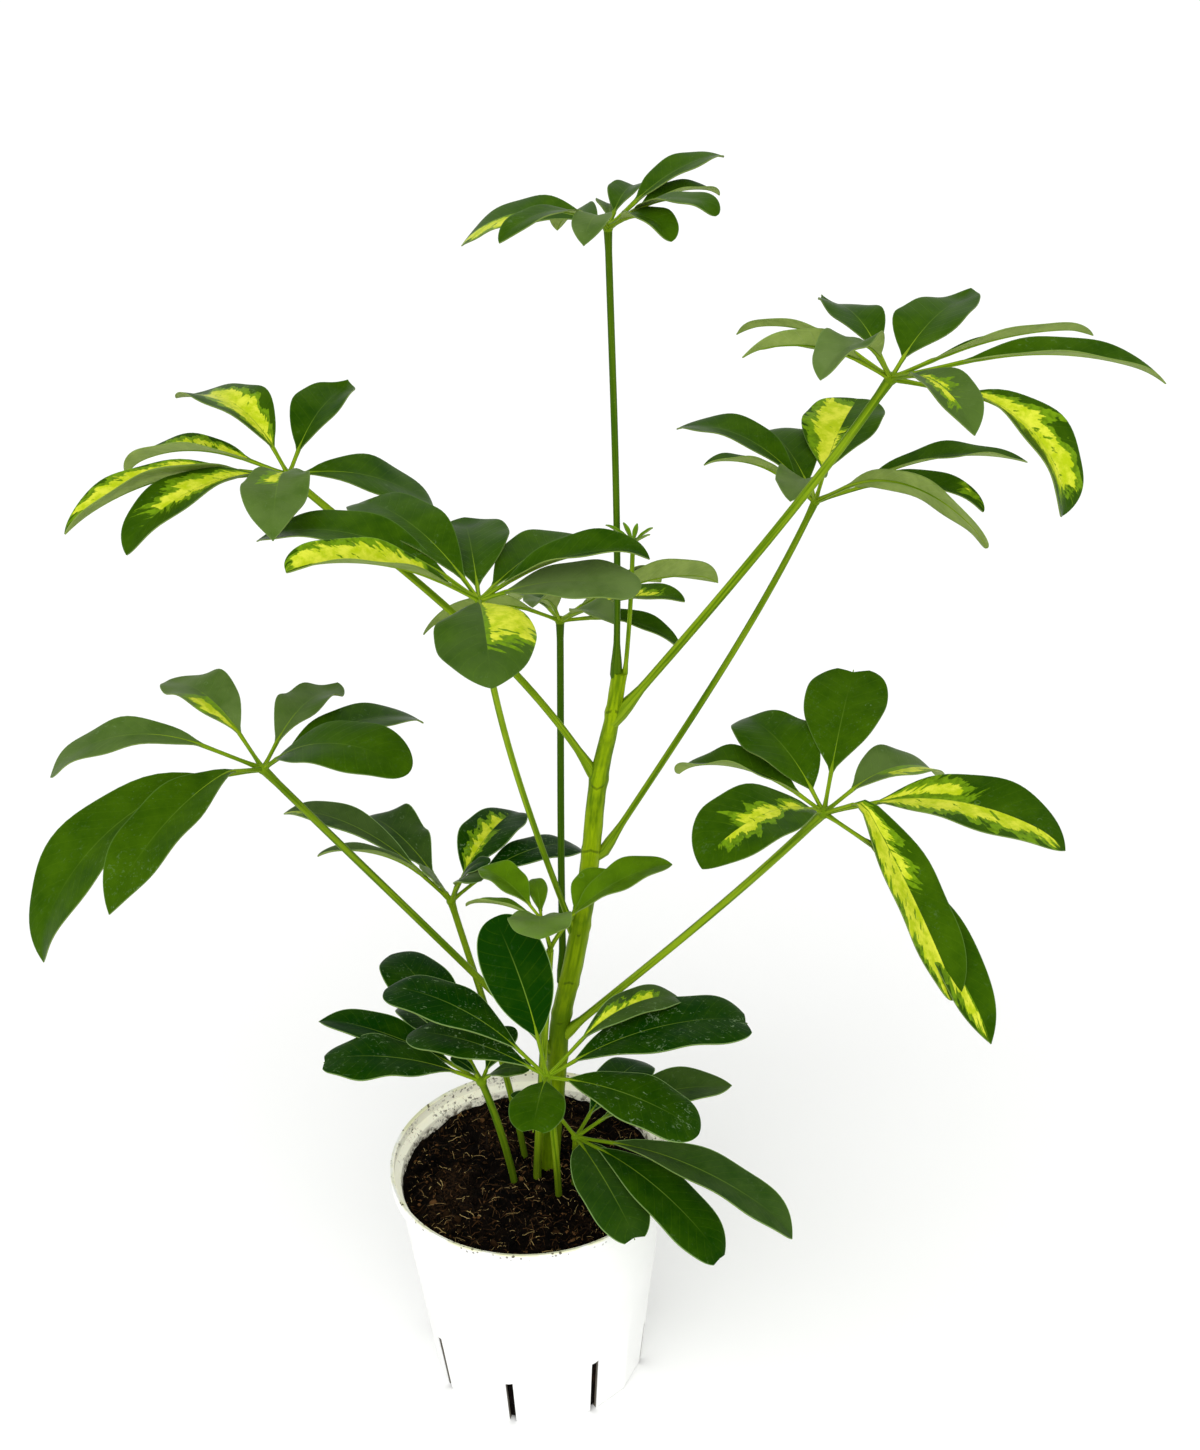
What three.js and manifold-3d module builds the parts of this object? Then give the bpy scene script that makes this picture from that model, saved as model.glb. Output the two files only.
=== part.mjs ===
// A variegated umbrella plant (dwarf schefflera) in a slotted white nursery pot.
// Millimetres, +Z up. The origin is the middle of the pot's underside, and -Y faces the viewer.
// Directions are degrees: turn goes round from +X towards +Y, rise is up from level.
import * as THREE from "three";
import { mergeVertices } from "three/addons/utils/BufferGeometryUtils.js";
import Module from "manifold-3d";

const wasm = await Module();
wasm.setup();
const { clamp, degToRad, euclideanModulo, lerp, smoothstep } = THREE.MathUtils;

// The driving dimensions.
const POT = {
  height: 118,
  rimRadius: 65,
  footRadius: 50,
  wall: 1.6,
  floor: 2,
  footChamfer: 1,
  lipReach: 2.2,
  lipDepth: 7,
  lipEdge: 0.8,
  corners: 16,
  cornerTurn: 5.2,
  facetFade: 75,
  segments: 32,
};
const SLOT = { count: 8, firstTurn: 27.7, width: 3.4, long: 34, short: 27, depth: 9 };
const SOIL = { level: 106.5, crown: 1.5, lump: 1.6, ripples: 7 };
const GAP = 0.3;
const TRUNK_SIDES = 8;
const PETIOLE_SIDES = 6;
const PETIOLE_STEPS = 7;
const BLADE = {
  rib: 1.1,
  edge: 0.65,
  widestAt: 0.56,
  foldBase: 24,
  foldTip: 8,
  tipWidth: 0.9,
  dipReach: 0.12,
};
const STALK_RADIUS = 0.9;
// Places along a blade, from its base to its tip, where its section is drawn.
const BLADE_STATIONS = [0, 0.2, 0.45, 0.7, 0.92, 1];
const BUD_STATIONS = [0, 0.5, 1];

const WHITE = 0xf2f2ee;
const SOIL_BROWN = 0x2a1d15;
const STEM_GREEN = 0x7c9a2c;
const LEAF_GREEN = 0x2c5a1e;
const YOUNG_GREEN = 0x4f8a2a;

// The trunk: points from the foot of its hole in the soil to its top, each with the radius there.
const TRUNK = [
  { at: [7, 7, 80], radius: 4.6 },
  { at: [8.4, 6.3, 106], radius: 4.7 },
  { at: [14.4, 5, 168.7], radius: 4.6 },
  { at: [16.8, 5, 192], radius: 4.5 },
  { at: [24.9, 4, 230.5], radius: 4.5 },
  { at: [31.8, 3, 272.5], radius: 4.1 },
  { at: [36.9, 3, 315.7], radius: 3.9 },
  { at: [43.5, 3, 346], radius: 3.2 },
  { at: [47.2, 3, 368], radius: 3.3 },
];
// Heights of the rings where leaves leave the trunk, or left it before.
const TRUNK_NODES = [146, 172, 196, 213, 244, 282, 318, 349];
const NODE_RING = { swell: 0.6, reach: 3 };

// Each leaf: its petiole from base to hub, bent by two handles, and its leaflets round the hub.
// A leaflet is [turn, rise, stalk, length, width, droop, roll, dip]: it sets off from the hub along
// turn and rise, has a bare stalk and then a blade, bends down by droop and is rolled about its rib.
// A dip, where there is one, bends the blade down at its foot.
const LEAVES = {
  leaf_top: {
    base: [45.7, 3, 367.3],
    handles: [[48.8, 3, 427], [47.2, 3, 498]],
    hub: [47, 3, 553],
    petiole: 1.35,
    leaflets: [
      [152, 15, 8, 59, 22, 60, -15],
      [229, 29, 16, 50, 13, 50, 0],
      [110, 4, 10, 44, 15, 45, 0],
      [254, 34, 10, 34, 14, 66, 0],
      [84, 14, 8, 30, 12, 50, 0],
      [70, 23, 9, 32, 14, 40, 0],
      [42, 24, 16, 51, 17, 30, 0],
      [310, 33, 16, 45, 15, 41, 0],
      [34, 18, 16, 40, 13, 42, 0],
      [295, 28, 12, 38, 15, 47, 0],
    ],
  },
  leaf_upper_right: {
    base: [47, 3, 349],
    handles: [[85, -4, 399], [122, -9, 447]],
    hub: [151, -15, 496],
    petiole: 1.8,
    leaflets: [
      [140, 24, 17, 56, 12, 51, 25],
      [203, 34, 17, 53, 18, 41, 40],
      [231, 49, 15, 48, 22, 83, 5],
      [105, 31, 14, 55, 22, 60, 0],
      [51, 29, 11, 56, 30, 41, 0],
      [20, 13, 18, 74, 14, 26, -26],
      [4, 9, 28, 84, 20, 36, 2],
      [289, 22, 15, 50, 21, 58, 0],
      [320, 1, 32, 64, 31, 86, -2],
    ],
  },
  leaf_mid_right: {
    base: [38.6, 3, 282],
    handles: [[73, 18, 328], [109, 34, 373]],
    hub: [133, 45, 421],
    petiole: 1.4,
    leaflets: [
      [137, 38, 13, 66, 24, 62, 0],
      [104, 26, 10, 50, 28, 36, 0],
      [200, 42, 20, 40, 14, 43, 14],
      [249, 49, 11, 44, 22, 63, 0],
      [66, 30, 16, 55, 35, 35, 0],
      [18, 14, 26, 78, 18, 38, -2],
      [330, 26, 21, 56, 17, 52, 0],
      [304, 34, 22, 84, 17, 66, -62],
    ],
  },
  leaf_upper_left: {
    base: [36.9, 3, 317],
    handles: [[5, 16, 377], [-52, 34, 415]],
    hub: [-83, 43, 445],
    petiole: 1.6,
    leaflets: [
      [136, 52, 13, 58, 35, 87, 8],
      [66, 35, 12, 51, 26, 48, 0],
      [152, 12, 18, 68, 21, 48, 8],
      [210, 19, 22, 78, 26, 48, 14],
      [228, 20, 18, 74, 26, 50, 0],
      [268, 27, 10, 58, 28, 62, 0],
      [17, -2, 7, 66, 31, 51, 12],
    ],
  },
  leaf_centre: {
    base: [24, 4, 241],
    handles: [[12, -9, 292], [-6, -24, 360]],
    hub: [-8, -37, 423],
    petiole: 1.35,
    leaflets: [
      [152, 29, 16, 88, 27, 56, -4],
      [200, 38, 14, 67, 24, 40, -3],
      [126, 31, 11, 77, 29, 48, 0],
      [94, 19, 8, 61, 33, 38, 0],
      [57, 8, 10, 64, 25, 22, 0],
      [349, 36, 12, 60, 25, 41, 0],
      [337, 25, 12, 55, 27, 32, 6],
      [273, 18, 6, 60, 38, 46, 0],
    ],
  },
  leaf_rear: {
    base: [18.8, 5, 214],
    handles: [[20.5, 40, 258], [24, 70, 302]],
    hub: [26, 83, 353],
    petiole: 1.6,
    leaflets: [
      [250, 54, 10, 36, 18, 50, 20],
      [300, 36, 12, 38, 18, 40, 0],
      [28, 14, 18, 70, 24, 40, -45],
      [44, 8, 14, 56, 20, 30, -45],
      [330, 32, 14, 52, 18, 30, 0],
      [345, 10, 12, 46, 16, 50, 0],
      [204, 32, 16, 55, 16, 58, 45],
      [110, 2, 12, 46, 18, 40, 0],
    ],
  },
  leaf_left: {
    base: [14.6, 5, 172],
    handles: [[-23, 2, 227], [-66, -2, 286]],
    hub: [-101, -5, 336],
    petiole: 1.6,
    leaflets: [
      [172, 24, 26, 74, 21, 74, -10],
      [126, 31, 19, 58, 28, 59, 0],
      [66, 22, 14, 58, 24, 53, 0],
      [38, 12, 12, 74, 25, 42, 0],
      [330, 41, 10, 68, 32, 65, 8],
      [234, 24, 18, 85, 27, 46, -10, 18],
      [213, 11, 21, 112, 34, 85, -8],
    ],
  },
  leaf_right: {
    base: [17.8, 5, 184],
    handles: [[54, -16, 233], [92, -37, 282]],
    hub: [123, -57, 332],
    petiole: 1.7,
    leaflets: [
      [146, 26, 12, 58, 23, 60, 10],
      [116, 36, 11, 52, 33, 49, 0],
      [220, 33, 9, 66, 36, 60, -6],
      [71, 33, 18, 54, 34, 22, 0],
      [33, 18, 16, 51, 28, 60, 0],
      [332, 24, 24, 78, 34, 52, 6],
      [309, 34, 18, 89, 27, 13, 0, 80],
      [315, -14, 20, 95, 25, 20, 0, 24],
    ],
  },
  leaf_low_left: {
    base: [-0.5, 12.5, 82],
    handles: [[-4, 14, 146], [-21, 21, 208]],
    hub: [-29, 25, 246],
    petiole: 1.5,
    leaflets: [
      [146, 33, 21, 77, 20, 51, 0],
      [123, 26, 15, 61, 30, 45, 0],
      [184, 52, 17, 52, 15, 62, 20],
      [198, 68, 5, 20, 15, 22, 0],
      [60, 28, 15, 54, 28, 48, 0],
      [33, 20, 16, 58, 23, 49, 0],
      [310, 66, 10, 23, 13, 64, 0],
      [348, 66, 13, 18, 11, 56, 0],
    ],
  },
  leaf_front: {
    base: [12, -11.5, 82],
    handles: [[12.5, -20, 135], [10, -33, 170]],
    hub: [9, -42, 197.5],
    petiole: 1.6,
    leaflets: [
      [133, 76, 20, 56, 29, 20, -40],
      [151, 38, 16, 70, 28, 50, 0],
      [151, 18, 8, 62, 25, 34, 0],
      [258, 17, 5, 32, 24, 40, 0],
      [334, 7, 10, 62, 32, 35, 0],
      [7, 28, 14, 79, 38, 42, 0],
      [24, 38, 21, 52, 20, 62, 0],
    ],
  },
  leaf_basal_left: {
    base: [-5, -2, 82],
    handles: [[-10, -5, 130], [-15, -8, 152]],
    hub: [-20, -10, 172],
    petiole: 1.7,
    leaflets: [
      [154, 22, 14, 70, 22, 30, 0],
      [178, 28, 12, 61, 31, 37, 0],
      [325, 50, 6, 26, 14, 42, 0],
      [121, 36, 14, 70, 29, 40, 0],
      [117, 14, 15, 64, 24, 40, 0],
      [50, 46, 5, 24, 13, 30, 0],
      [158, 52, 4, 14, 7, 40, 0],
    ],
  },
  leaf_basal_right: {
    base: [19, -7, 82],
    handles: [[19.5, -8, 112], [20.5, -12, 128]],
    hub: [21, -15, 141],
    petiole: 1.5,
    leaflets: [
      [294, -5, 5, 54, 28, 24, 0],
      [317, 1, 13, 76, 28, 44, 0],
      [331, 9, 19, 94, 25, 46, 0],
      [5, 35, 14, 63, 26, 52, 0],
      [52, 26, 12, 48, 24, 50, 0],
      [178, 60, 12, 28, 9, 50, 0],
    ],
  },
};

// The leafy side shoot: its stem, then two young leaves with short petioles.
const SHOOT = {
  stem: [[2.2, -1, 82], [2.5, -1.5, 106], [7.9, -10, 182], [9.5, -13, 203], [13.1, -20, 248]],
  radius: 2,
  leaves: [
    {
      handles: [[13, -22, 254], [11.5, -24, 260]],
      hub: [10, -26, 268],
      petiole: 1,
      leaflets: [
        [150, 13, 6, 32, 11, 40, 25],
        [134, 34, 8, 30, 18, 40, 0],
        [93, 25, 4, 21, 9, 30, 0],
        [266, 47, 3, 23, 27, 72, 0],
      ],
    },
    {
      handles: [[15, -22, 255], [19, -24, 261]],
      hub: [22, -26, 268],
      petiole: 1,
      leaflets: [
        [48, 38, 4, 24, 16, 30, 0],
        [8, 44, 3, 47, 21, 40, 0],
      ],
    },
  ],
};

// The bud beside the top leaf: a stalk and a spray of leaflets that haven't opened.
const BUD = {
  base: [49.3, 2.8, 367.3],
  handles: [[51.4, 0, 388], [52.4, -3, 408]],
  hub: [53.2, -5, 429],
  petiole: 0.95,
  leaflets: [
    [160, 42, 1, 12, 2.4, 20, 0],
    [175, 30, 1, 11, 2.4, 0, 0],
    [215, 38, 1, 9, 2.2, 10, 0],
    [130, 60, 1, 8, 2.2, 10, 0],
    [60, 62, 1, 7, 2.2, 10, 0],
    [10, 40, 1, 9, 2.2, 10, 0],
    [330, 35, 1, 8, 2.2, 0, 0],
  ],
};

const vector = (xyz) => new THREE.Vector3(...xyz);

// The unit vector that points along a turn and a rise.
function heading(turn, rise) {
  const level = Math.cos(degToRad(rise));
  return new THREE.Vector3(
    level * Math.cos(degToRad(turn)),
    level * Math.sin(degToRad(turn)),
    Math.sin(degToRad(rise)),
  );
}

// A closed geometry as a solid that can be joined and cut.
function solidOf(geometry) {
  const bare = new THREE.BufferGeometry()
    .setAttribute("position", geometry.getAttribute("position"))
    .setIndex(geometry.getIndex());
  const merged = mergeVertices(bare, 1e-4);
  return new wasm.Manifold(
    new wasm.Mesh({
      numProp: 3,
      vertProperties: merged.getAttribute("position").array,
      triVerts: new Uint32Array(merged.getIndex().array),
    }),
  );
}

// A solid as a named mesh.
function meshOf(name, solid, look) {
  const { vertProperties, triVerts } = solid.getMesh();
  const geometry = new THREE.BufferGeometry()
    .setAttribute("position", new THREE.BufferAttribute(vertProperties, 3))
    .setIndex(new THREE.BufferAttribute(triVerts, 1));
  const mesh = new THREE.Mesh(geometry, new THREE.MeshStandardMaterial({ metalness: 0, ...look }));
  mesh.name = name;
  return mesh;
}

const joined = (solids) => wasm.Manifold.union(solids);

// A closed skin over rings of points that all have the same even count. The first half of a ring
// and the second half mirror each other, and so do the triangles between them. Each end is closed
// by strips between the two halves, so that a ring may be folded like a leaf.
function skin(rings) {
  const count = rings[0].length;
  const last = (rings.length - 1) * count;
  const faces = [];
  for (let r = 0; r + 1 < rings.length; r++) {
    for (let i = 0; i < count; i++) {
      const a = r * count + i;
      const b = r * count + ((i + 1) % count);
      if (i < count / 2) faces.push(a, b, a + count, b, b + count, a + count);
      else faces.push(a, b, b + count, a, b + count, a + count);
    }
  }
  for (let i = 0; i + 1 < count / 2; i++) {
    const [a, b, c, d] = [i, i + 1, count - 2 - i, count - 1 - i];
    faces.push(a, c, b, a, d, c);
    faces.push(last + a, last + b, last + c, last + a, last + c, last + d);
  }
  return new THREE.BufferGeometry().setFromPoints(rings.flat()).setIndex(faces);
}

// Evenly spaced places along a curve, from 0 to 1.
const evenly = (steps) => Array.from({ length: steps + 1 }, (_, i) => i / steps);

// A round stem along a curve, with a ring at each of the places. radiusAt gives its radius there.
// A spare makes it that much bigger all over, as the room that another piece leaves round it.
function stem(curve, radiusAt, places, sides, spare = 0) {
  const rings = places.map((place, i) => {
    const along = curve.getTangent(place);
    const across = new THREE.Vector3(0, 1, 0).cross(along).normalize();
    const behind = along.clone().cross(across);
    const middle = curve.getPoint(place);
    const radius = radiusAt(place, middle) + spare;
    if (i === 0) middle.addScaledVector(along, -spare);
    if (i === places.length - 1) middle.addScaledVector(along, spare);
    return Array.from({ length: sides }, (_, side) => {
      const angle = (2 * Math.PI * side) / sides;
      return middle
        .clone()
        .addScaledVector(across, radius * Math.cos(angle))
        .addScaledVector(behind, radius * Math.sin(angle));
    });
  });
  return solidOf(skin(rings));
}

// Half of a blade's width, as a share of its widest half: a wedge at the base, a round tip.
function bladeOutline(share) {
  if (share < BLADE.widestAt) return Math.sin((Math.PI / 2) * (share / BLADE.widestAt)) ** 1.2;
  return Math.sqrt(1 - ((share - BLADE.widestAt) / (1 - BLADE.widestAt)) ** 2.4);
}

// One leaflet from a hub, in one skin: six points a section, the left edge, rib and right edge above
// and the same three below.
function leaflet(hub, stations, [turn, rise, stalk, length, width, droop, roll, dip = 0]) {
  const rings = [];
  const pitchAt = (share) => rise - droop * share - dip * smoothstep(share, 0, BLADE.dipReach);
  const section = (middle, pitch, half, ribThick, edgeThick, fold) => {
    const along = heading(turn, pitch);
    const level = new THREE.Vector3(0, 0, 1).cross(heading(turn, 0));
    const left = level.applyAxisAngle(along, degToRad(roll));
    const up = along.clone().cross(left);
    const point = (side, thick) =>
      middle
        .clone()
        .addScaledVector(left, side * half * Math.cos(degToRad(fold)))
        .addScaledVector(up, Math.abs(side) * half * Math.sin(degToRad(fold)) + thick / 2);
    rings.push([
      point(1, edgeThick),
      point(0, ribThick),
      point(-1, edgeThick),
      point(-1, -edgeThick),
      point(0, -ribThick),
      point(1, -edgeThick),
    ]);
  };
  const at = hub.clone();
  section(at, rise, STALK_RADIUS, 2 * STALK_RADIUS, STALK_RADIUS, 0);
  at.addScaledVector(heading(turn, rise), stalk);
  section(at, rise, STALK_RADIUS, 2 * STALK_RADIUS, STALK_RADIUS, 0);
  let share = 0;
  for (const next of stations.slice(1)) {
    at.addScaledVector(heading(turn, pitchAt((share + next) / 2)), (next - share) * length);
    const half = Math.max(BLADE.tipWidth, (width / 2) * bladeOutline(next));
    const fold = lerp(BLADE.foldBase, BLADE.foldTip, next);
    section(at, pitchAt(next), half, BLADE.rib, BLADE.edge, fold);
    share = next;
  }
  return solidOf(skin(rings));
}

// A petiole, thicker at its base.
function petioleOf({ base, handles, hub, petiole }, spare = 0) {
  const curve = new THREE.CubicBezierCurve3(...[base, ...handles, hub].map(vector));
  const radiusAt = (place) => petiole * (1 + 0.4 * (1 - smoothstep(place, 0, 0.14)));
  return stem(curve, radiusAt, evenly(PETIOLE_STEPS), PETIOLE_SIDES, spare);
}

// A whole leaf: the petiole, the hub and the leaflets, grown together.
function leaf(spec, stations = BLADE_STATIONS) {
  const hub = new THREE.IcosahedronGeometry(spec.petiole * 1.5).translate(...spec.hub);
  const leaflets = spec.leaflets.map((numbers) => leaflet(vector(spec.hub), stations, numbers));
  return joined([petioleOf(spec), solidOf(hub), ...leaflets]);
}

// The place on a rising curve that is at a height.
function placeAtHeight(curve, z) {
  let [low, high] = [0, 1];
  for (let halving = 0; halving < 20; halving++) {
    const middle = (low + high) / 2;
    if (curve.getPoint(middle).z < z) low = middle;
    else high = middle;
  }
  return low;
}

// The trunk, with a ring of its skin at each of its points and three at each of its nodes.
function trunk(spare = 0) {
  const curve = new THREE.CatmullRomCurve3(TRUNK.map(({ at }) => vector(at)));
  const radiusAt = (place, middle) => {
    const above = clamp(TRUNK.findIndex(({ at }) => at[2] > middle.z), 1, TRUNK.length - 1);
    const [low, high] = [TRUNK[above - 1], TRUNK[above]];
    const between = clamp((middle.z - low.at[2]) / (high.at[2] - low.at[2]), 0, 1);
    const nearest = Math.min(...TRUNK_NODES.map((z) => Math.abs(z - middle.z)));
    const swell = NODE_RING.swell * (1 - smoothstep(nearest, 0, NODE_RING.reach));
    return lerp(low.radius, high.radius, between) + swell;
  };
  const { reach } = NODE_RING;
  const between = TRUNK.slice(1, -1).map(({ at }) => at[2]);
  const clear = between.filter((z) => TRUNK_NODES.every((node) => Math.abs(node - z) > reach + 1));
  const heights = [...clear, ...TRUNK_NODES.flatMap((z) => [z - reach, z, z + reach])];
  const places = heights.sort((a, b) => a - b).map((z) => placeAtHeight(curve, z));
  return stem(curve, radiusAt, [0, ...places, 1], TRUNK_SIDES, spare);
}

// The side shoot's bare stem.
function shootStem(spare = 0) {
  const curve = new THREE.CatmullRomCurve3(SHOOT.stem.map(vector));
  return stem(curve, (place) => SHOOT.radius * (1 - 0.2 * place), evenly(10), PETIOLE_SIDES, spare);
}

function sideShoot() {
  const base = SHOOT.stem.at(-1);
  return joined([shootStem(), ...SHOOT.leaves.map((young) => leaf({ base, ...young }))]);
}

// The radius of the pot's outer wall below the lip. The foot is a polygon that fades to a circle.
function wallRadius(turn, z) {
  const round = lerp(POT.footRadius, POT.rimRadius - POT.lipReach, z / POT.height);
  const side = 360 / POT.corners;
  const fromMiddle = euclideanModulo(turn - POT.cornerTurn, side) - side / 2;
  const flat = (round * Math.cos(degToRad(side / 2))) / Math.cos(degToRad(fromMiddle));
  return lerp(flat, round, smoothstep(z, 0, POT.facetFade));
}

// A closed body turned about Z. Each ring gives its height and its radius at a turn, from the middle
// of the underside, up the outside and back to the middle at the end.
function turned(rings) {
  const { segments, cornerTurn } = POT;
  const points = [];
  const faces = [];
  for (const { z, radius } of rings) {
    for (let i = 0; i < segments; i++) {
      const turn = cornerTurn + (360 * i) / segments;
      const reach = radius(turn);
      const height = typeof z === "function" ? z(turn, reach) : z;
      points.push(heading(turn, 0).multiplyScalar(reach).setZ(height));
    }
  }
  for (let r = 0; r + 1 < rings.length; r++) {
    for (let i = 0; i < segments; i++) {
      const a = r * segments + i;
      const b = r * segments + ((i + 1) % segments);
      faces.push(a, b, b + segments, a, b + segments, a + segments);
    }
  }
  return solidOf(new THREE.BufferGeometry().setFromPoints(points).setIndex(faces));
}

function pot() {
  const { height, rimRadius, wall, floor, footChamfer, lipReach, lipDepth, lipEdge } = POT;
  const outside = (z, inset = 0) => ({ z, radius: (turn) => wallRadius(turn, z) - inset });
  const circle = (z, r) => ({ z, radius: () => r });
  const lipFoot = height - lipDepth;
  const body = turned([
    circle(0, 0),
    outside(0, footChamfer),
    outside(footChamfer),
    outside(25),
    outside(50),
    outside(POT.facetFade),
    outside(lipFoot - lipEdge),
    circle(lipFoot, rimRadius - lipEdge / 2),
    circle(lipFoot + lipEdge, rimRadius),
    circle(height - lipEdge, rimRadius),
    circle(height, rimRadius - lipEdge / 2),
    circle(height, rimRadius - wall),
    outside(lipFoot - lipEdge, wall),
    outside(POT.facetFade, wall),
    outside(50, wall),
    outside(25, wall),
    outside(floor, wall),
    circle(floor, 0),
  ]);
  const cutters = [];
  for (let i = 0; i < SLOT.count; i++) {
    const tall = (i % 2 ? SLOT.short : SLOT.long) + 1;
    const cutter = new THREE.BoxGeometry(SLOT.depth * 2, SLOT.width, tall)
      .translate(POT.footRadius + 2, 0, tall / 2 - 1)
      .rotateZ(degToRad(SLOT.firstTurn + (360 * i) / SLOT.count));
    cutters.push(solidOf(cutter));
  }
  return body.subtract(joined(cutters));
}

// The soil fills the pot to a lumpy top, with a plain hole for each stem that stands in it.
function soil(holes) {
  const { level, crown, lump, ripples } = SOIL;
  const floorZ = POT.floor + GAP;
  const inside = (z, share = 1) => ({
    z,
    radius: (turn) => share * (wallRadius(turn, z) - POT.wall - GAP),
  });
  const surface = (share) => ({
    ...inside(level, share),
    z: (turn, reach) => {
      const { x, y } = heading(turn, 0).multiplyScalar(reach);
      const wave =
        Math.sin(x * 0.21 + 1.3) * Math.cos(y * 0.17 - 0.4) +
        0.6 * Math.sin(x * 0.43 - y * 0.37 + 2.1) +
        0.4 * Math.cos(x * 0.71 + y * 0.58);
      return level + crown * (1 - share * share) + (lump / 2) * wave;
    },
  });
  const ripple = Array.from({ length: ripples }, (_, i) => surface(1 - i / ripples));
  const body = turned([
    { z: floorZ, radius: () => 0 },
    inside(floorZ),
    inside(25),
    inside(50),
    inside(POT.facetFade),
    ...ripple,
    { z: level + crown, radius: () => 0 },
  ]);
  return body.subtract(joined(holes));
}

const trunkRoom = trunk(GAP);
const standing = [LEAVES.leaf_low_left, LEAVES.leaf_front, LEAVES.leaf_basal_left, LEAVES.leaf_basal_right];
const holes = [trunkRoom, shootStem(GAP), ...standing.map((spec) => petioleOf(spec, GAP))];

const plant = new THREE.Group();
plant.add(meshOf("pot", pot(), { color: WHITE, roughness: 0.3 }));
plant.add(meshOf("soil", soil(holes), { color: SOIL_BROWN, roughness: 0.95 }));
plant.add(meshOf("main_stem", trunk(), { color: STEM_GREEN, roughness: 0.55 }));
plant.add(meshOf("side_shoot", sideShoot(), { color: YOUNG_GREEN, roughness: 0.45 }));
for (const [name, spec] of Object.entries(LEAVES)) {
  plant.add(meshOf(name, leaf(spec).subtract(trunkRoom), { color: LEAF_GREEN, roughness: 0.4 }));
}
plant.add(
  meshOf("leaf_bud", leaf(BUD, BUD_STATIONS).subtract(trunkRoom), { color: YOUNG_GREEN, roughness: 0.5 }),
);

export default plant;
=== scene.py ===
# A variegated umbrella plant in a slotted nursery pot, dressed for its portrait.
# The tables hold millimetres, and MM turns them into metres. A turn is degrees round from +X towards
# +Y, and a rise is degrees up from level. Each leaflet has a left and a right side, seen along its rib.
import random
from collections import namedtuple
from math import atan2, cos, degrees, pi, radians, sin, sqrt

import bmesh
import bpy
from mathutils import Euler, Matrix, Vector, noise
from mathutils.geometry import interpolate_bezier


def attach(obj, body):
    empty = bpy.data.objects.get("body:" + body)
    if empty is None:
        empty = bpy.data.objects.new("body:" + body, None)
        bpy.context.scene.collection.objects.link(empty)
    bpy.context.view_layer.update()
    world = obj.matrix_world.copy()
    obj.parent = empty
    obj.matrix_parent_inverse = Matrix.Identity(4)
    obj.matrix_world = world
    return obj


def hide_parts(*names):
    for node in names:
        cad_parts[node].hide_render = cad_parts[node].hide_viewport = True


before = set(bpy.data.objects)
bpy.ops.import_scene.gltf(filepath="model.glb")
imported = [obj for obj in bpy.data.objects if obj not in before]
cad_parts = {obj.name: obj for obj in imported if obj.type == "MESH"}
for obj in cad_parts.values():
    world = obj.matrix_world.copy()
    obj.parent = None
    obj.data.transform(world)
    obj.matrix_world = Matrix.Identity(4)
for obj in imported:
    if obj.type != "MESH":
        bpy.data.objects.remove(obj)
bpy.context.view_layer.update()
MM = 0.001

# The camera's place, how far it looks down, aside and out of level in degrees, and its lens and film.
VIEW = {"place": (0, -792.6, 788.6), "down": 29.19, "aside": 2.768, "lean": -1.751, "lens": 54.6, "film": 36}
# The light's size is in degrees, and the floor reaches so many metres to each side.
STUDIO = {"sky": 0.78, "light": 1.85, "light_size": 70, "light_goes": (0.2, 1, -0.85), "floor_half": 30}

POT = {
    "height": 118,
    "rim_radius": 65,
    "foot_radius": 50,
    "wall": 1.6,
    "floor": 2,
    "lip_reach": 2.2,
    "lip_depth": 7,
    "corners": 16,
    "corner_turn": 5.2,
    "facet_fade": 75,
    "columns": 368,
}
SLOT = {
    "count": 8,
    "first_turn": 27.7,
    "columns": 4,
    "long": 34,
    "short": 27,
    "foot_reach": 43,
    "top_slant": 0.22,
    "slant_turn": 3.2,
    "slant_height": 6,
}
# An edge of the pot that bends by more than these degrees stays sharp.
SHARP_EDGE = 40
SOIL = {"level": 106.5, "crown": 1.5, "lump": 1.6, "clod": 1.1, "gap": 0.3}
# What lies on the mix, how many of each, and how far out they reach.
LITTER = {"lumps": 160, "crumbs": 1300, "chips": 260, "fibres": 1900}
LITTER_REACH = {"crumb": 59, "chip": 58, "fibre": 57, "brim": 58.5}
# The points along each bit of coir.
FIBRE_BEADS = 6

# Places along the middle of the trunk with its radius at each, and the heights of its rings.
TRUNK = [
    ((7, 7, 80), 4.6),
    ((8.4, 6.3, 106), 4.7),
    ((14.4, 5, 168.7), 4.6),
    ((16.8, 5, 192), 4.5),
    ((24.9, 4, 230.5), 4.5),
    ((31.8, 3, 272.5), 4.1),
    ((36.9, 3, 315.7), 3.9),
    ((43.5, 3, 346), 3.2),
    ((47.2, 3, 368), 3.3),
]
TRUNK_NODES = [146, 172, 196, 213, 244, 282, 318, 349]
NODE_RING = {"swell": 0.4, "reach": 4}
BARK_LUMP = 0.18

# The grid of a blade's sheet has so many cells across and along, crowded towards the tip. Reaches and
# starts along a blade are shares of its length.
BLADE = {
    "thick": 0.45,
    "across": 16,
    "along": 34,
    "crowding": 1.7,
    "roundness": 2.4,
    "tip_half": 0.25,
    "fold_softness": 0.02,
    "dip_reach": 0.12,
    "hook_start": 0.78,
    "twist_start": 0.3,
    "dent_start": 0.86,
    "dented_reach": 0.96,
    "waves": 2.3,
    "wave_lag": 0.37,
}
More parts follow.
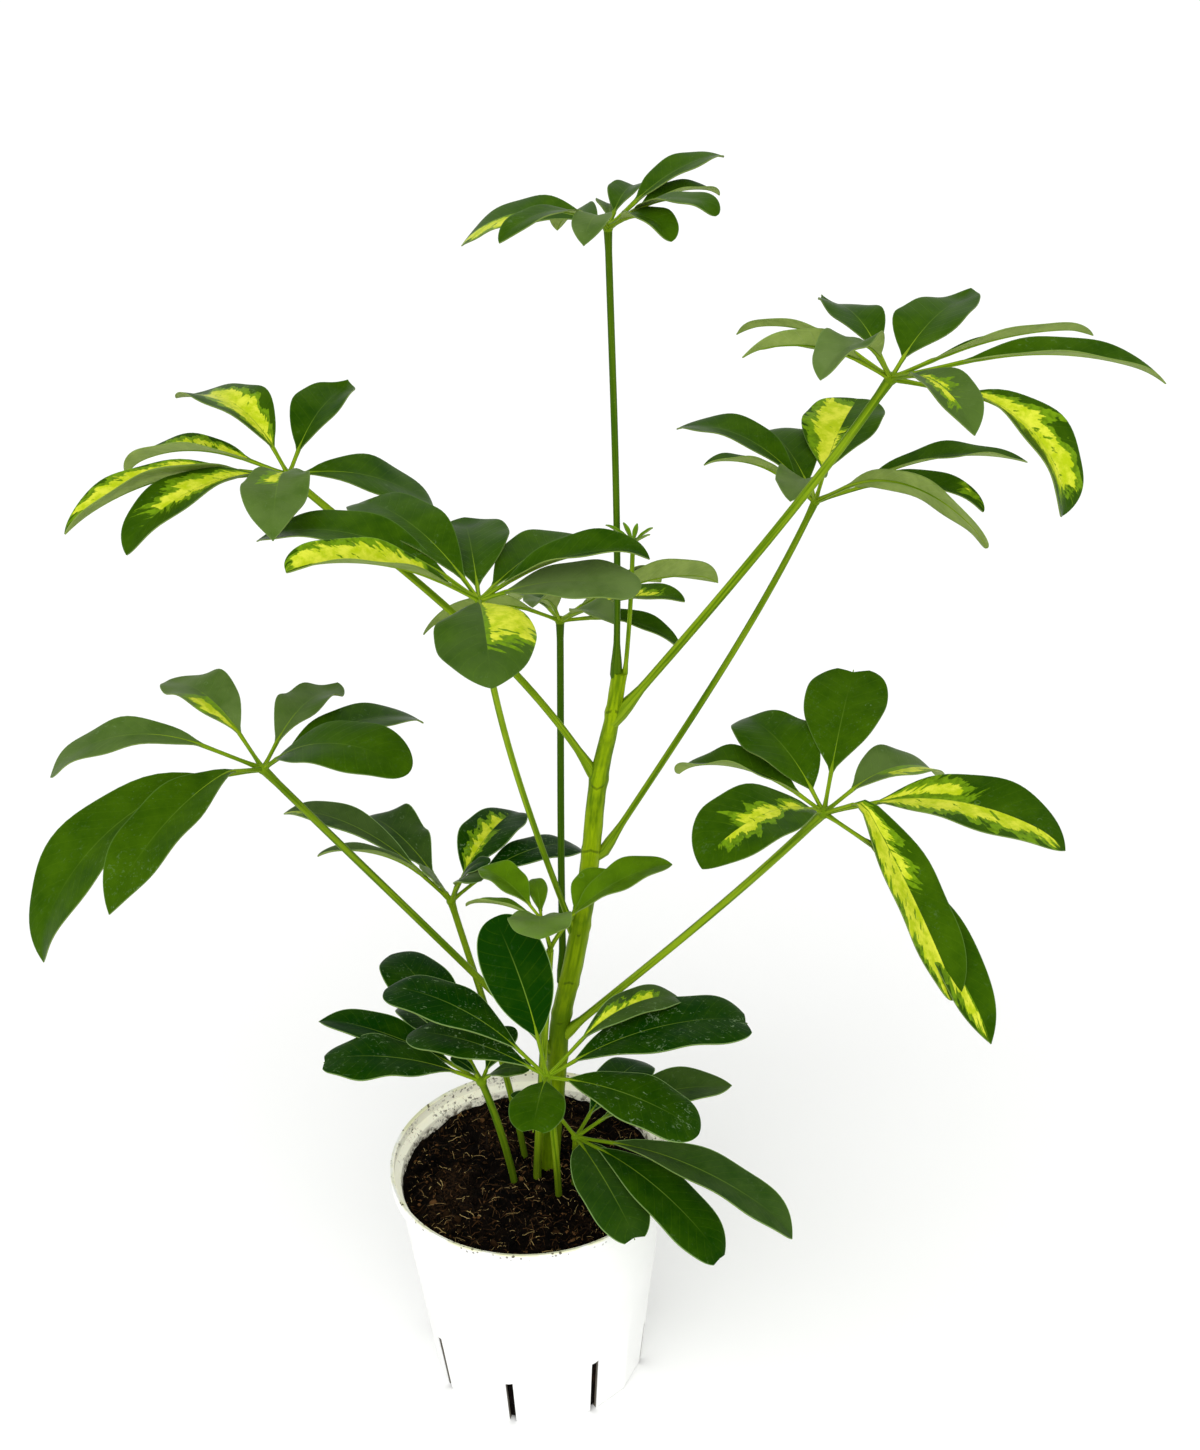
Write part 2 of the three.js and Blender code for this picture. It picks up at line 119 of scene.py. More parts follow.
# A petiole is thicker by these shares at its sheath on the trunk or its foot in the mix, and at its neck.
PETIOLE = {
    "points": 40,
    "sheath": 0.9,
    "foot": 0.35,
    "flare_reach": 0.09,
    "neck": 0.25,
    "neck_start": 0.95,
    "hub": 1.45,
}
STALK = {"radius": 0.85, "steps": 8, "swell": 0.5, "swell_steps": 3, "neck": 0.12, "neck_step": 6}
# Leaves on petioles thinner than this have thinner stalks too.
FULL_PETIOLE = 1.3
# A rib goes on from its stalk. It sinks into the blade by a share of its radius, and thins towards the tip.
RIB = {"end_radius": 0.22, "thinning": 0.6, "sink": 0.55, "sink_reach": 0.1, "full_width": 16}

# A leaflet's rib sets out along its turn and rise, on a stalk of its own. Over its length it bends down by
# its droop, and beside the stalk by its dip. Its roll lifts its left edge.
Leaflet = namedtuple("Leaflet", "turn rise stalk length width droop roll dip", defaults=[0, 0])

LEAVES = {
    "leaf_top": {
        "base": (45.7, 3, 367.3),
        "handles": ((48.8, 3, 427), (47.2, 3, 498)),
        "hub": (47, 3, 553),
        "petiole": 1.35,
        "dark": 0.75,
        "leaflets": [
            (152, 15, 8, 59, 22, 60, -15),
            (229, 29, 16, 50, 13, 50),
            (110, 4, 10, 44, 15, 45),
            (254, 34, 10, 34, 14, 66),
            (84, 14, 8, 30, 12, 50),
            (70, 23, 9, 32, 14, 40),
            (42, 24, 16, 51, 17, 30),
            (310, 33, 16, 45, 15, 41),
            (34, 18, 16, 40, 13, 42),
            (295, 28, 12, 38, 15, 47),
        ],
    },
    "leaf_upper_right": {
        "base": (47, 3, 349),
        "handles": ((85, -4, 399), (122, -9, 447)),
        "hub": (151, -15, 496),
        "petiole": 1.8,
        "leaflets": [
            (140, 24, 17, 56, 12, 51, 25),
            (203, 34, 17, 53, 18, 41, 40),
            (231, 49, 15, 48, 22, 83, 5),
            (105, 31, 14, 55, 22, 60),
            (51, 29, 11, 56, 30, 41),
            (20, 13, 18, 74, 14, 26, -26),
            (4, 9, 28, 84, 20, 36, 2),
            (289, 22, 15, 50, 21, 58),
            (320, 1, 32, 64, 31, 86, -2),
        ],
    },
    "leaf_mid_right": {
        "base": (38.6, 3, 282),
        "handles": ((73, 18, 328), (109, 34, 373)),
        "hub": (133, 45, 421),
        "petiole": 1.4,
        "dark": 0.3,
        "leaflets": [
            (137, 38, 13, 66, 24, 62),
            (104, 26, 10, 50, 28, 36),
            (200, 42, 20, 40, 14, 43, 14),
            (249, 49, 11, 44, 22, 63),
            (66, 30, 16, 55, 35, 35),
            (18, 14, 26, 78, 18, 38, -2),
            (330, 26, 21, 56, 17, 52),
            (304, 34, 22, 84, 17, 66, -62),
        ],
    },
    "leaf_upper_left": {
        "base": (36.9, 3, 317),
        "handles": ((5, 16, 377), (-52, 34, 415)),
        "hub": (-83, 43, 445),
        "petiole": 1.6,
        "leaflets": [
            (136, 52, 13, 58, 35, 87, 8),
            (66, 35, 12, 51, 26, 48),
            (152, 12, 18, 68, 21, 48, 8),
            (210, 19, 22, 78, 26, 48, 14),
            (228, 20, 18, 74, 26, 50),
            (268, 27, 10, 58, 28, 62),
            (17, -2, 7, 66, 31, 51, 12),
        ],
    },
    "leaf_centre": {
        "base": (24, 4, 241),
        "handles": ((12, -9, 292), (-6, -24, 360)),
        "hub": (-8, -37, 423),
        "petiole": 1.35,
        "leaflets": [
            (152, 29, 16, 88, 27, 56, -4),
            (200, 38, 14, 67, 24, 40, -3),
            (126, 31, 11, 77, 29, 48),
            (94, 19, 8, 61, 33, 38),
            (57, 8, 10, 64, 25, 22),
            (349, 36, 12, 60, 25, 41),
            (337, 25, 12, 55, 27, 32, 6),
            (273, 18, 6, 60, 38, 46),
        ],
    },
    "leaf_rear": {
        "base": (18.8, 5, 214),
        "handles": ((20.5, 40, 258), (24, 70, 302)),
        "hub": (26, 83, 353),
        "petiole": 1.6,
        "dark": 0.85,
        "leaflets": [
            (250, 54, 10, 36, 18, 50, 20),
            (300, 36, 12, 38, 18, 40),
            (28, 14, 18, 70, 24, 40, -45),
            (44, 8, 14, 56, 20, 30, -45),
            (330, 32, 14, 52, 18, 30),
            (345, 10, 12, 46, 16, 50),
            (204, 32, 16, 55, 16, 58, 45),
            (110, 2, 12, 46, 18, 40),
        ],
    },
    "leaf_left": {
        "base": (14.6, 5, 172),
        "handles": ((-23, 2, 227), (-66, -2, 286)),
        "hub": (-101, -5, 336),
        "petiole": 1.6,
        "dark": 0.35,
        "leaflets": [
            (172, 24, 26, 74, 21, 74, -10),
            (126, 31, 19, 58, 28, 59),
            (66, 22, 14, 58, 24, 53),
            (38, 12, 12, 74, 25, 42),
            (330, 41, 10, 68, 32, 65, 8),
            (234, 24, 18, 85, 27, 46, -10, 18),
            (213, 11, 21, 112, 34, 85, -8),
        ],
    },
    "leaf_right": {
        "base": (17.8, 5, 184),
        "handles": ((54, -16, 233), (92, -37, 282)),
        "hub": (123, -57, 332),
        "petiole": 1.7,
        "leaflets": [
            (146, 26, 12, 58, 23, 60, 10),
            (116, 36, 11, 52, 33, 49),
            (220, 33, 9, 66, 36, 60, -6),
            (71, 33, 18, 54, 34, 22),
            (33, 18, 16, 51, 28, 60),
            (332, 24, 24, 78, 34, 52, 6),
            (309, 34, 18, 89, 27, 13, 0, 80),
            (315, -14, 20, 95, 25, 20, 0, 24),
        ],
    },
    "leaf_low_left": {
        "base": (-0.5, 12.5, 82),
        "handles": ((-4, 14, 146), (-21, 21, 208)),
        "hub": (-29, 25, 246),
        "petiole": 1.5,
        "dark": 0.3,
        "leaflets": [
            (146, 33, 21, 77, 20, 51),
            (123, 26, 15, 61, 30, 45),
            (184, 52, 17, 52, 15, 62, 20),
            (198, 68, 5, 20, 15, 22),
            (60, 28, 15, 54, 28, 48),
            (33, 20, 16, 58, 23, 49),
            (310, 66, 10, 23, 13, 64),
            (348, 66, 13, 18, 11, 56),
        ],
    },
    "leaf_front": {
        "base": (12, -11.5, 82),
        "handles": ((12.5, -20, 135), (10, -33, 170)),
        "hub": (9, -42, 197.5),
        "petiole": 1.6,
        "leaflets": [
            (133, 76, 20, 56, 29, 20, -40),
            (151, 38, 16, 70, 28, 50),
            (151, 18, 8, 62, 25, 34),
            (258, 17, 5, 32, 24, 40),
            (334, 7, 10, 62, 32, 35),
            (7, 28, 14, 79, 38, 42),
            (24, 38, 21, 52, 20, 62),
        ],
    },
    "leaf_basal_left": {
        "base": (-5, -2, 82),
        "handles": ((-10, -5, 130), (-15, -8, 152)),
        "hub": (-20, -10, 172),
        "petiole": 1.7,
        "dark": 0.5,
        "leaflets": [
            (154, 22, 14, 70, 22, 30),
            (178, 28, 12, 61, 31, 37),
            (325, 50, 6, 26, 14, 42),
            (121, 36, 14, 70, 29, 40),
            (117, 14, 15, 64, 24, 40),
            (50, 46, 5, 24, 13, 30),
            (158, 52, 4, 14, 7, 40),
        ],
    },
    "leaf_basal_right": {
        "base": (19, -7, 82),
        "handles": ((19.5, -8, 112), (20.5, -12, 128)),
        "hub": (21, -15, 141),
        "petiole": 1.5,
        "leaflets": [
            (294, -5, 5, 54, 28, 24),
            (317, 1, 13, 76, 28, 44),
            (331, 9, 19, 94, 25, 46),
            (5, 35, 14, 63, 26, 52),
            (52, 26, 12, 48, 24, 50),
            (178, 60, 12, 28, 9, 50),
        ],
    },
}

SHOOT_STEM = [(2.2, -1, 82), (2.5, -1.5, 106), (7.9, -10, 182), (9.5, -13, 203), (13.1, -20, 248)]
SHOOT_RADIUS = 2
YOUNG_LEAVES = [
    {
        "base": (13.1, -20, 248),
        "handles": ((13, -22, 254), (11.5, -24, 260)),
        "hub": (10, -26, 268),
        "petiole": 1,
        "leaflets": [
            (150, 13, 6, 32, 11, 40, 25),
            (134, 34, 8, 30, 18, 40),
            (93, 25, 4, 21, 9, 30),
            (266, 47, 3, 23, 27, 72),
        ],
    },
    {
        "base": (13.1, -20, 248),
        "handles": ((15, -22, 255), (19, -24, 261)),
        "hub": (22, -26, 268),
        "petiole": 1,
        "leaflets": [
            (48, 38, 4, 24, 16, 30),
            (8, 44, 3, 47, 21, 40),
        ],
    },
]

BUD = {
    "base": (49.3, 2.8, 367.3),
    "handles": ((51.4, 0, 388), (52.4, -3, 408)),
    "hub": (53.2, -5, 429),
    "petiole": 0.95,
    "leaflets": [
        (160, 42, 1, 12, 2.4, 20),
        (175, 30, 1, 11, 2.4, 0),
        (215, 38, 1, 9, 2.2, 10),
        (130, 60, 1, 8, 2.2, 10),
        (60, 62, 1, 7, 2.2, 10),
        (10, 40, 1, 9, 2.2, 10),
        (330, 35, 1, 8, 2.2, 0),
    ],
}

# How dark a stalk is where nothing else is said, and the range of the seeds that tell leaves apart.
LIGHT_STALK = 0.1
SEEDS = 40

# What a leaflet does beyond its plain form. left and right are the bands of lime on its sides: from and
# to in shares of the half's width, then from and to in shares of the blade's length. fold lifts its
# halves at the base and at the tip, in degrees, tip is sharper as it grows, and notch is the depth of a
# dent in the tip. widest is the share of the length where the blade is widest, and wedge is narrower at
# the base as it grows. hook bends the last part down, twist turns the blade about its rib towards the
# tip, curl rolls its edges down, and wave makes them rise and fall. fresh is a fresher green, the sheen
# share is a grey-green painted sheen, a painted reflection, and worn is how much the face is scratched.
NO_LIME = (0, -1, 0, 1)
PLAIN = {
    "left": NO_LIME,
    "right": NO_LIME,
    "fold": (34, 20),
    "tip": 0.85,
    "notch": 0,
    "widest": 0.53,
    "wedge": 0.95,
    "hook": 14,
    "twist": 0,
    "curl": 0.05,
    "wave": 0.05,
    "fresh": 0,
    "painted_sheen": 0,
    "worn": 0.4,
}
LOW_LEAF = {"fold": (14, 2), "tip": 0.5, "widest": 0.6, "wedge": 1.15, "curl": 0.12}
LOW_LEAVES = ("leaf_low_left", "leaf_front", "leaf_basal_left", "leaf_basal_right")
# How fresh the green is, from the old low leaves to the bud.
LOW_LEAF_FRESH = 0.03
LEAF_FRESH = 0.24
YOUNG_FRESH = 0.7
BUD_FRESH = 0.8
HABITS = {
    "leaf_top": {
        0: {"left": (0.15, 0.8, 0.56, 0.92), "fold": (12, 2), "tip": 0.8, "hook": 6},
        1: {"fold": (20, 8), "tip": 0.75, "hook": 10},
        2: {"left": (0, 0.8, 0.05, 0.7)},
        3: {"fold": (20, 8), "tip": 0.95, "painted_sheen": 0.8},
        4: {"tip": 0.6, "painted_sheen": 0.6},
        6: {"fold": (24, 14), "tip": 0.9},
        7: {"fold": (20, 4), "tip": 0.5, "hook": 40},
        9: {"tip": 0.55, "hook": 30},
    },
    "leaf_upper_right": {
        0: {"tip": 1, "hook": 10},
        1: {"tip": 0.95, "hook": 15},
        2: {"tip": 0.9, "wave": 0.16, "painted_sheen": 1},
        3: {"fold": (20, 8), "tip": 1.1, "widest": 0.42, "hook": -45, "twist": 25},
        4: {"fold": (18, 14), "widest": 0.42, "hook": -35, "twist": -15},
        5: {"left": (0.1, 0.5, 0, 0.6), "tip": 0.8},
        6: {"fold": (36, 26), "tip": 0.95, "hook": 12},
        7: {"left": (0.1, 0.2, 0.1, 0.5), "right": (0, 0.34, 0.05, 0.7), "tip": 0.95, "painted_sheen": 0.5},
        8: {"left": (0, 0.5, 0.03, 0.82), "right": (0, 0.3, 0.08, 0.8), "fold": (30, 20), "tip": 0.6},
    },
    "leaf_mid_right": {
        0: {"fold": (28, 12), "tip": 0.9, "hook": 2},
        1: {"fold": (22, 6), "tip": 0.6},
        2: {"tip": 1},
        3: {"wave": 0.14, "painted_sheen": 1},
        4: {
            "left": (0, 0.72, 0, 0.86), "right": (0, 0.08, 0, 0.4), "fold": (22, 8), "tip": 0.45,
            "hook": -10,
        },
        5: {"fold": (30, 22), "tip": 0.8, "hook": 0, "wave": 0.1},
        6: {"left": (0.6, 0.74, 0.8, 0.88), "fold": (36, 26), "tip": 0.6, "hook": 18},
        7: {"fold": (10, 0), "tip": 0.36, "widest": 0.62, "hook": 8, "wave": 0.08},
    },
    "leaf_upper_left": {
        0: {"left": (0, 0.36, 0, 0.78), "right": (0, 0.44, 0, 0.72), "fold": (26, 10), "hook": -24},
        1: {"fold": (24, 30), "tip": 1.05, "hook": -40},
        2: {"right": (0, 0.55, 0.02, 0.62), "fold": (36, 34), "tip": 0.8},
        3: {"right": (0, 0.74, 0.05, 0.87), "fold": (34, 38), "hook": 5},
        4: {
            "left": (0, 0.3, 0, 0.6), "right": (0, 0.4, 0, 0.7), "fold": (26, 16), "tip": 0.8,
            "hook": 25,
        },
        5: {"right": (0.06, 0.26, 0, 0.4), "fold": (24, 14), "tip": 1.1, "wave": 0.12, "painted_sheen": 0.7},
        6: {"fold": (12, 4), "tip": 0.9, "hook": 25},
    },
    "leaf_centre": {
        0: {"fold": (24, 14), "tip": 0.95, "hook": 4},
        1: {"right": (0.04, 0.72, 0.2, 0.95), "fold": (36, 34), "tip": 0.4, "hook": 12},
        2: {"fold": (18, 6), "tip": 0.7},
        3: {"fold": (24, 10), "hook": -20},
        4: {"fold": (26, 18), "tip": 1.05, "hook": 4},
        5: {"fold": (32, 22), "hook": 30},
        6: {"fold": (16, 4), "tip": 0.4, "painted_sheen": 1},
        7: {
            "left": (0.12, 0.94, 0, 0.62), "fold": (14, 0), "tip": 0.8, "widest": 0.46, "curl": 0.26,
            "wave": 0.07, "painted_sheen": 0.3,
        },
    },
    "leaf_rear": {
        0: {"wave": 0.12, "painted_sheen": 0.9},
        1: {"painted_sheen": 0.9},
        2: {"tip": 0.95},
        4: {"left": (0.1, 0.4, 0.2, 0.7), "tip": 0.7},
    },
    "leaf_left": {
        0: {"fold": (16, 6), "tip": 0.7, "hook": 8, "wave": 0.1, "painted_sheen": 0.6},
        1: {"left": (0.3, 0.75, 0, 0.42), "fold": (30, 10), "hook": -18, "wave": 0.1, "painted_sheen": 0.8},
        2: {"fold": (28, 10), "hook": -35, "wave": 0.14, "painted_sheen": 0.6},
        3: {"fold": (18, 10), "tip": 0.9},
        4: {"fold": (14, 4), "tip": 0.5, "wedge": 0.75, "curl": 0.1},
        5: {"fold": (26, 18), "tip": 0.95, "wave": 0.11, "worn": 1},
        6: {"fold": (26, 16), "tip": 0.95, "wave": 0.08, "worn": 0.7},
    },
    "leaf_right": {
        0: {"fold": (34, 24), "tip": 0.6, "wave": 0.12},
        1: {"fold": (18, 8), "tip": 0.8, "wedge": 0.8, "wave": 0.08, "worn": 0.8},
        2: {
            "left": (0, 0.22, 0.05, 0.78), "right": (0, 0.2, 0.1, 0.6), "fold": (20, 8), "tip": 0.8,
            "wedge": 0.7, "hook": 24,
        },
        3: {
            "fold": (14, 4), "tip": 0.4, "notch": 1.6, "widest": 0.64, "wedge": 1.05, "hook": -8,
            "worn": 1,
        },
        4: {"right": (0.35, 0.8, 0.3, 0.78), "fold": (26, 12), "painted_sheen": 0.7},
        5: {
            "left": (0.25, 0.55, 0.02, 0.42), "right": (0, 0.62, 0.03, 0.88), "fold": (18, 10),
            "hook": 16,
        },
        6: {
            "left": (0.05, 0.3, 0.02, 0.42), "right": (0, 0.84, 0, 0.97), "fold": (26, 20), "tip": 0.5,
            "wedge": 0.8, "hook": 8,
        },
        7: {"right": (0.1, 0.6, 0.55, 0.9), "tip": 0.95, "hook": 8, "twist": 20},
    },
    "young_0": {
        0: {"fresh": 0.2},
        1: {"wave": 0.1},
        3: {"fold": (24, 0), "wave": 0.1, "painted_sheen": 1},
    },
    "young_1": {
        0: {"fold": (24, 10)},
        1: {"fold": (24, 14), "wave": 0.08},
    },
    "leaf_low_left": {
        0: {"left": (0.3, 0.8, 0.8, 1), "fold": (30, 20), "tip": 0.9, "painted_sheen": 0.5, "worn": 0.1},
        1: {"fold": (24, 10), "tip": 0.6, "notch": 1, "wave": 0.22, "painted_sheen": 0.3},
        2: {"fold": (30, 20), "painted_sheen": 0.6},
        3: {"painted_sheen": 1},
        4: {
            "left": (0, 0.32, 0, 0.7), "right": (0, 0.04, 0, 0.4), "fold": (28, 12), "tip": 0.8,
            "widest": 0.46, "wedge": 0.8,
        },
        6: {"painted_sheen": 0.5},
    },
    "leaf_front": {
        0: {"tip": 0.42, "widest": 0.56, "wedge": 0.75, "hook": 0, "worn": 0.04},
        1: {"worn": 0.8},
        2: {"worn": 0.9},
        3: {"tip": 0.42, "notch": 1.2, "fresh": 0.16},
        4: {"wedge": 0.8, "fresh": 0.08, "worn": 0.7},
        5: {"fold": (18, 6), "tip": 0.42, "notch": 1.2, "wedge": 0.9, "worn": 0.6},
        6: {"left": (0, 0.3, 0, 0.72), "fold": (20, 8), "painted_sheen": 0.35},
    },
    "leaf_basal_left": {
        0: {"fold": (24, 20), "tip": 1, "worn": 0.1},
        1: {"notch": 0.8, "wave": 0.09},
        2: {"fresh": 0.1},
    },
    "leaf_basal_right": {
        0: {"tip": 0.42, "notch": 1.2, "widest": 0.46, "wedge": 0.5, "painted_sheen": 0.12, "worn": 0.1},
        1: {"notch": 0.6, "wedge": 0.85, "fresh": 0.08, "worn": 0.1},
        2: {
            "fold": (26, 18), "tip": 0.8, "wedge": 0.8, "hook": 24, "wave": 0.08, "painted_sheen": 0.3,
            "worn": 0.1,
        },
        3: {"fold": (26, 18), "tip": 0.9, "hook": -12, "painted_sheen": 0.35, "worn": 0.1},
    },
}


def lerp(low, high, share):
    return low + (high - low) * share


def smoothstep(value, low, high):
    share = min(1, max(0, (value - low) / (high - low)))
    return share * share * (3 - 2 * share)


def heading(turn, rise=0):
    """The unit vector that points along a turn and a rise."""
    level = cos(radians(rise))
    return Vector((level * cos(radians(turn)), level * sin(radians(turn)), sin(radians(rise))))


def metres(place):
    return Vector(place) * MM


class Field:
    """Something that varies over a surface: the output of a node, which takes part in plain sums."""

    def __init__(self, finish, socket):
        self.finish = finish
        self.socket = socket

    def _sum(self, operation, *values):
        return self.finish.node("ShaderNodeMath", {"operation": operation}, dict(enumerate(values)))

    def __add__(self, other):
        return self._sum("ADD", self, other)

    __radd__ = __add__

    def __sub__(self, other):
        return self._sum("SUBTRACT", self, other)

    def __rsub__(self, other):
        return self._sum("SUBTRACT", other, self)

    def __mul__(self, other):
        return self._sum("MULTIPLY", self, other)

    __rmul__ = __mul__

    def __abs__(self):
        return self._sum("ABSOLUTE", self)

    def __gt__(self, other):
        return self._sum("GREATER_THAN", self, other)

    def fraction(self):
        return self._sum("FRACT", self)

    def larger(self, other):
        return self._sum("MAXIMUM", self, other)

    def ramp(self, low, high):
        """0 below low and 1 above high, with a soft step between them. low may be the larger one."""
        settings = {"interpolation_type": "SMOOTHSTEP"}
        return self.finish.node("ShaderNodeMapRange", settings, {0: self, 1: low, 2: high})

    def parts(self):
        """The three parts of a place or a direction."""
        split = self.finish.node("ShaderNodeSeparateXYZ", {}, {0: self}).socket.node
        return [Field(self.finish, output) for output in split.outputs]


class Finish:
    """The material of one kind of surface. fixed holds what is alike all over it."""

    def __init__(self, name, fixed):
        self.material = bpy.data.materials.new(name)
        self.material.use_nodes = True
        self.nodes = self.material.node_tree.nodes
        self.shader = self.nodes["Principled BSDF"]
        for socket, value in fixed.items():
            self.shader.inputs[socket].default_value = value

    def node(self, kind, settings, inputs, output=0):
        made = self.nodes.new(kind)
        for setting, value in settings.items():
            setattr(made, setting, value)
        for socket, value in inputs.items():
            self.feed(made.inputs[socket], value)
        return Field(self, made.outputs[output])

    def feed(self, socket, value):
        if isinstance(value, Field):
            self.material.node_tree.links.new(value.socket, socket)
        elif isinstance(value, tuple) and socket.type == "RGBA":
            socket.default_value = (*value, 1)
        else:
            socket.default_value = value

    def wears(self, **looks):
        for socket, value in looks.items():
            self.feed(self.shader.inputs[socket.replace("_", " ")], value)
        return self.material

    def place(self):
        """Where a point is on the object."""
        return self.node("ShaderNodeTexCoord", {}, {}, "Object")

    def spread(self):
        """Where a point is on its blade or stalk."""
        return self.node("ShaderNodeUVMap", {"uv_map": "UVMap"}, {})

    def kept(self, name):
        """A value that the mesh keeps at each of its points."""
        return self.node("ShaderNodeAttribute", {"attribute_name": name}, {}, "Vector")

    def joined(self, x, y, z):
        return self.node("ShaderNodeCombineXYZ", {}, {0: x, 1: y, 2: z})

    def cloud(self, where, scale, detail=3, rough=0.55):
        """Soft noise round 0.5."""
        inputs = {"Vector": where, "Scale": scale, "Detail": detail, "Roughness": rough}
        return self.node("ShaderNodeTexNoise", {}, inputs)

    def cells(self, where, scale):
        """How far a point is from the middle of its cell."""
        return self.node("ShaderNodeTexVoronoi", {}, {"Vector": where, "Scale": scale}, "Distance")

    def mix(self, share, low, high):
        inputs = {0: share, 6: low, 7: high}
        return self.node("ShaderNodeMix", {"data_type": "RGBA"}, inputs, 2)

    def bump(self, height, distance, strength=1.0):
        inputs = {"Height": height, "Distance": distance, "Strength": strength}
        return self.node("ShaderNodeBump", {}, inputs)


# Colours of the blades and their backs, the stalks, the trunk, the pot, the mix, its coir and the floor.
DEEP_GREEN = (0.003, 0.031, 0.0003)
YOUNG_GREEN = (0.115, 0.235, 0.004)
# The grey-green of the painted sheen on the upper faces.
PAINTED_SHEEN_GREEN = (0.115, 0.18, 0.045)
MID_GREEN = (0.16, 0.3, 0.006)
LIME = (0.42, 0.53, 0.008)
PALE_LIME = (0.66, 0.7, 0.05)
RIB_GREEN = (0.16, 0.27, 0.03)
EDGE_GREEN = (0.25, 0.4, 0.13)
SCRATCH_GREEN = (0.33, 0.47, 0.25)
BACK_GREEN = (0.175, 0.25, 0.045)
PALE_BACK = (0.245, 0.33, 0.07)
BACK_LIME = (0.45, 0.52, 0.14)
BACK_VEIN = (0.28, 0.36, 0.13)
BACK_EDGE = (0.13, 0.2, 0.05)
STALK_LINE = (0.085, 0.17, 0.002)
STALK_GREEN = (0.24, 0.36, 0.01)
STALK_PATCH = (0.075, 0.16, 0.002)
STALK_SPECK = (0.3, 0.38, 0.1)
DARK_STALK = (0.012, 0.06, 0.001)
DARKER_LOW_STALK = (0.05, 0.085, 0.003)
BARK_LINE = (0.11, 0.2, 0.001)
BARK_GREEN = (0.27, 0.39, 0.003)
BARK_PATCH = (0.05, 0.12, 0.002)
DARKER_LOW_BARK = (0.06, 0.12, 0.001)
SCAR_GREEN = (0.035, 0.07, 0.003)
CORK = (0.05, 0.075, 0.004)
COOL_WHITE = (0.87, 0.88, 0.86)
POT_WHITE = (0.9, 0.905, 0.885)
CREAM = (0.93, 0.9, 0.7)
RIM_STAIN = (0.66, 0.66, 0.36)
DIRT = (0.045, 0.028, 0.01)
PAINTED_HOLLOW_SHADE = (0.0006, 0.0004, 0.0003)
MIX_CLOD = (0.006, 0.0034, 0.002)
RED_BARK = (0.042, 0.021, 0.009)
BROWN_CRUMB = (0.13, 0.062, 0.022)
PALE_GRAIN = (0.1, 0.06, 0.03)
DARK_COIR = (0.0025, 0.0015, 0.0008)
BROWN_COIR = (0.1, 0.045, 0.014)
STRAW = (0.5, 0.36, 0.14)
COIR_SHADE = (0.035, 0.02, 0.01)
FLOOR_GREY = (0.93, 0.935, 0.925)
FLOOR_WHITE = (0.96, 0.96, 0.955)
GREEN_SHEEN = (0.55, 0.85, 0.2, 1)

BladeSpot = namedtuple("BladeSpot", "side away share vein half length worn")
# The side veins of a blade lean towards its tip, and there are so many to a millimetre.
VEIN = {"slope": 0.16, "per_mm": 0.19}


def blade_spot(f):
    """Where a point is on its blade: its side from -1 to 1, its share of the length, and the vein there."""
    side, share, _ = f.spread().parts()
    away = abs(side)
    half, length, worn = f.kept("blade_size").parts()
    return BladeSpot(side, away, share, share - away * VEIN["slope"], half, length, worn)


def lime_bands(f, at):
    """The bands of lime on a blade and the half green beside them, with edges like a comb."""
    on_left = at.side > 0

    def limits(name):
        left, right = (f.kept(f"{side}_{name}").parts() for side in ("left", "right"))
        return [there + (here - there) * on_left for here, there in zip(left, right)]

    inner, outer, seed = limits("band")
    start, end, _ = limits("reach")
    vein = at.vein * at.length
    comb = f.cloud(f.joined(vein * 0.42, at.away * 1.3, seed + on_left * 7.3), 1, 4, 0.62) - 0.5
    blotch = f.cloud(f.joined(vein * 0.13, at.away * 1.4, seed * 2.1 + 3), 1, 3) - 0.5
    hole = f.cloud(f.joined(vein * 0.3, at.away * 2.2, seed + 11), 1, 4)
    lime = (at.away - inner + comb * 0.3 + 0.02).ramp(-0.015, 0.015)
    lime = lime * (outer + comb * 0.7 + blotch * 0.9 - at.away).ramp(-0.02, 0.02)
    lime = lime * (at.share - start + blotch * 0.12).ramp(-0.01, 0.01)
    lime = lime * (end - at.share + blotch * 0.4).ramp(-0.01, 0.01) * hole.ramp(0.66, 0.63)
    beside = (outer + 0.24 + blotch * 1.6 + comb * 0.4 - at.away).ramp(-0.02, 0.02)
    beside = beside * (at.away - inner + 0.4 + blotch * 0.8).ramp(0, 0.04)
    beside = beside * (at.share - start + 0.04 + comb * 0.2).ramp(-0.02, 0.02)
    beside = beside * (end + 0.06 - at.share + comb * 0.5).ramp(-0.02, 0.02)
    there = outer > 0
    return lime * there, beside * there


def side_veins(at, thin):
    """The fine veins that leave the rib, thinner as thin comes near 0.5."""
    between = abs((at.vein * at.length * VEIN["per_mm"]).fraction() - 0.5)
    return between.ramp(thin, 0.5) * at.away.ramp(0.02, 0.2)


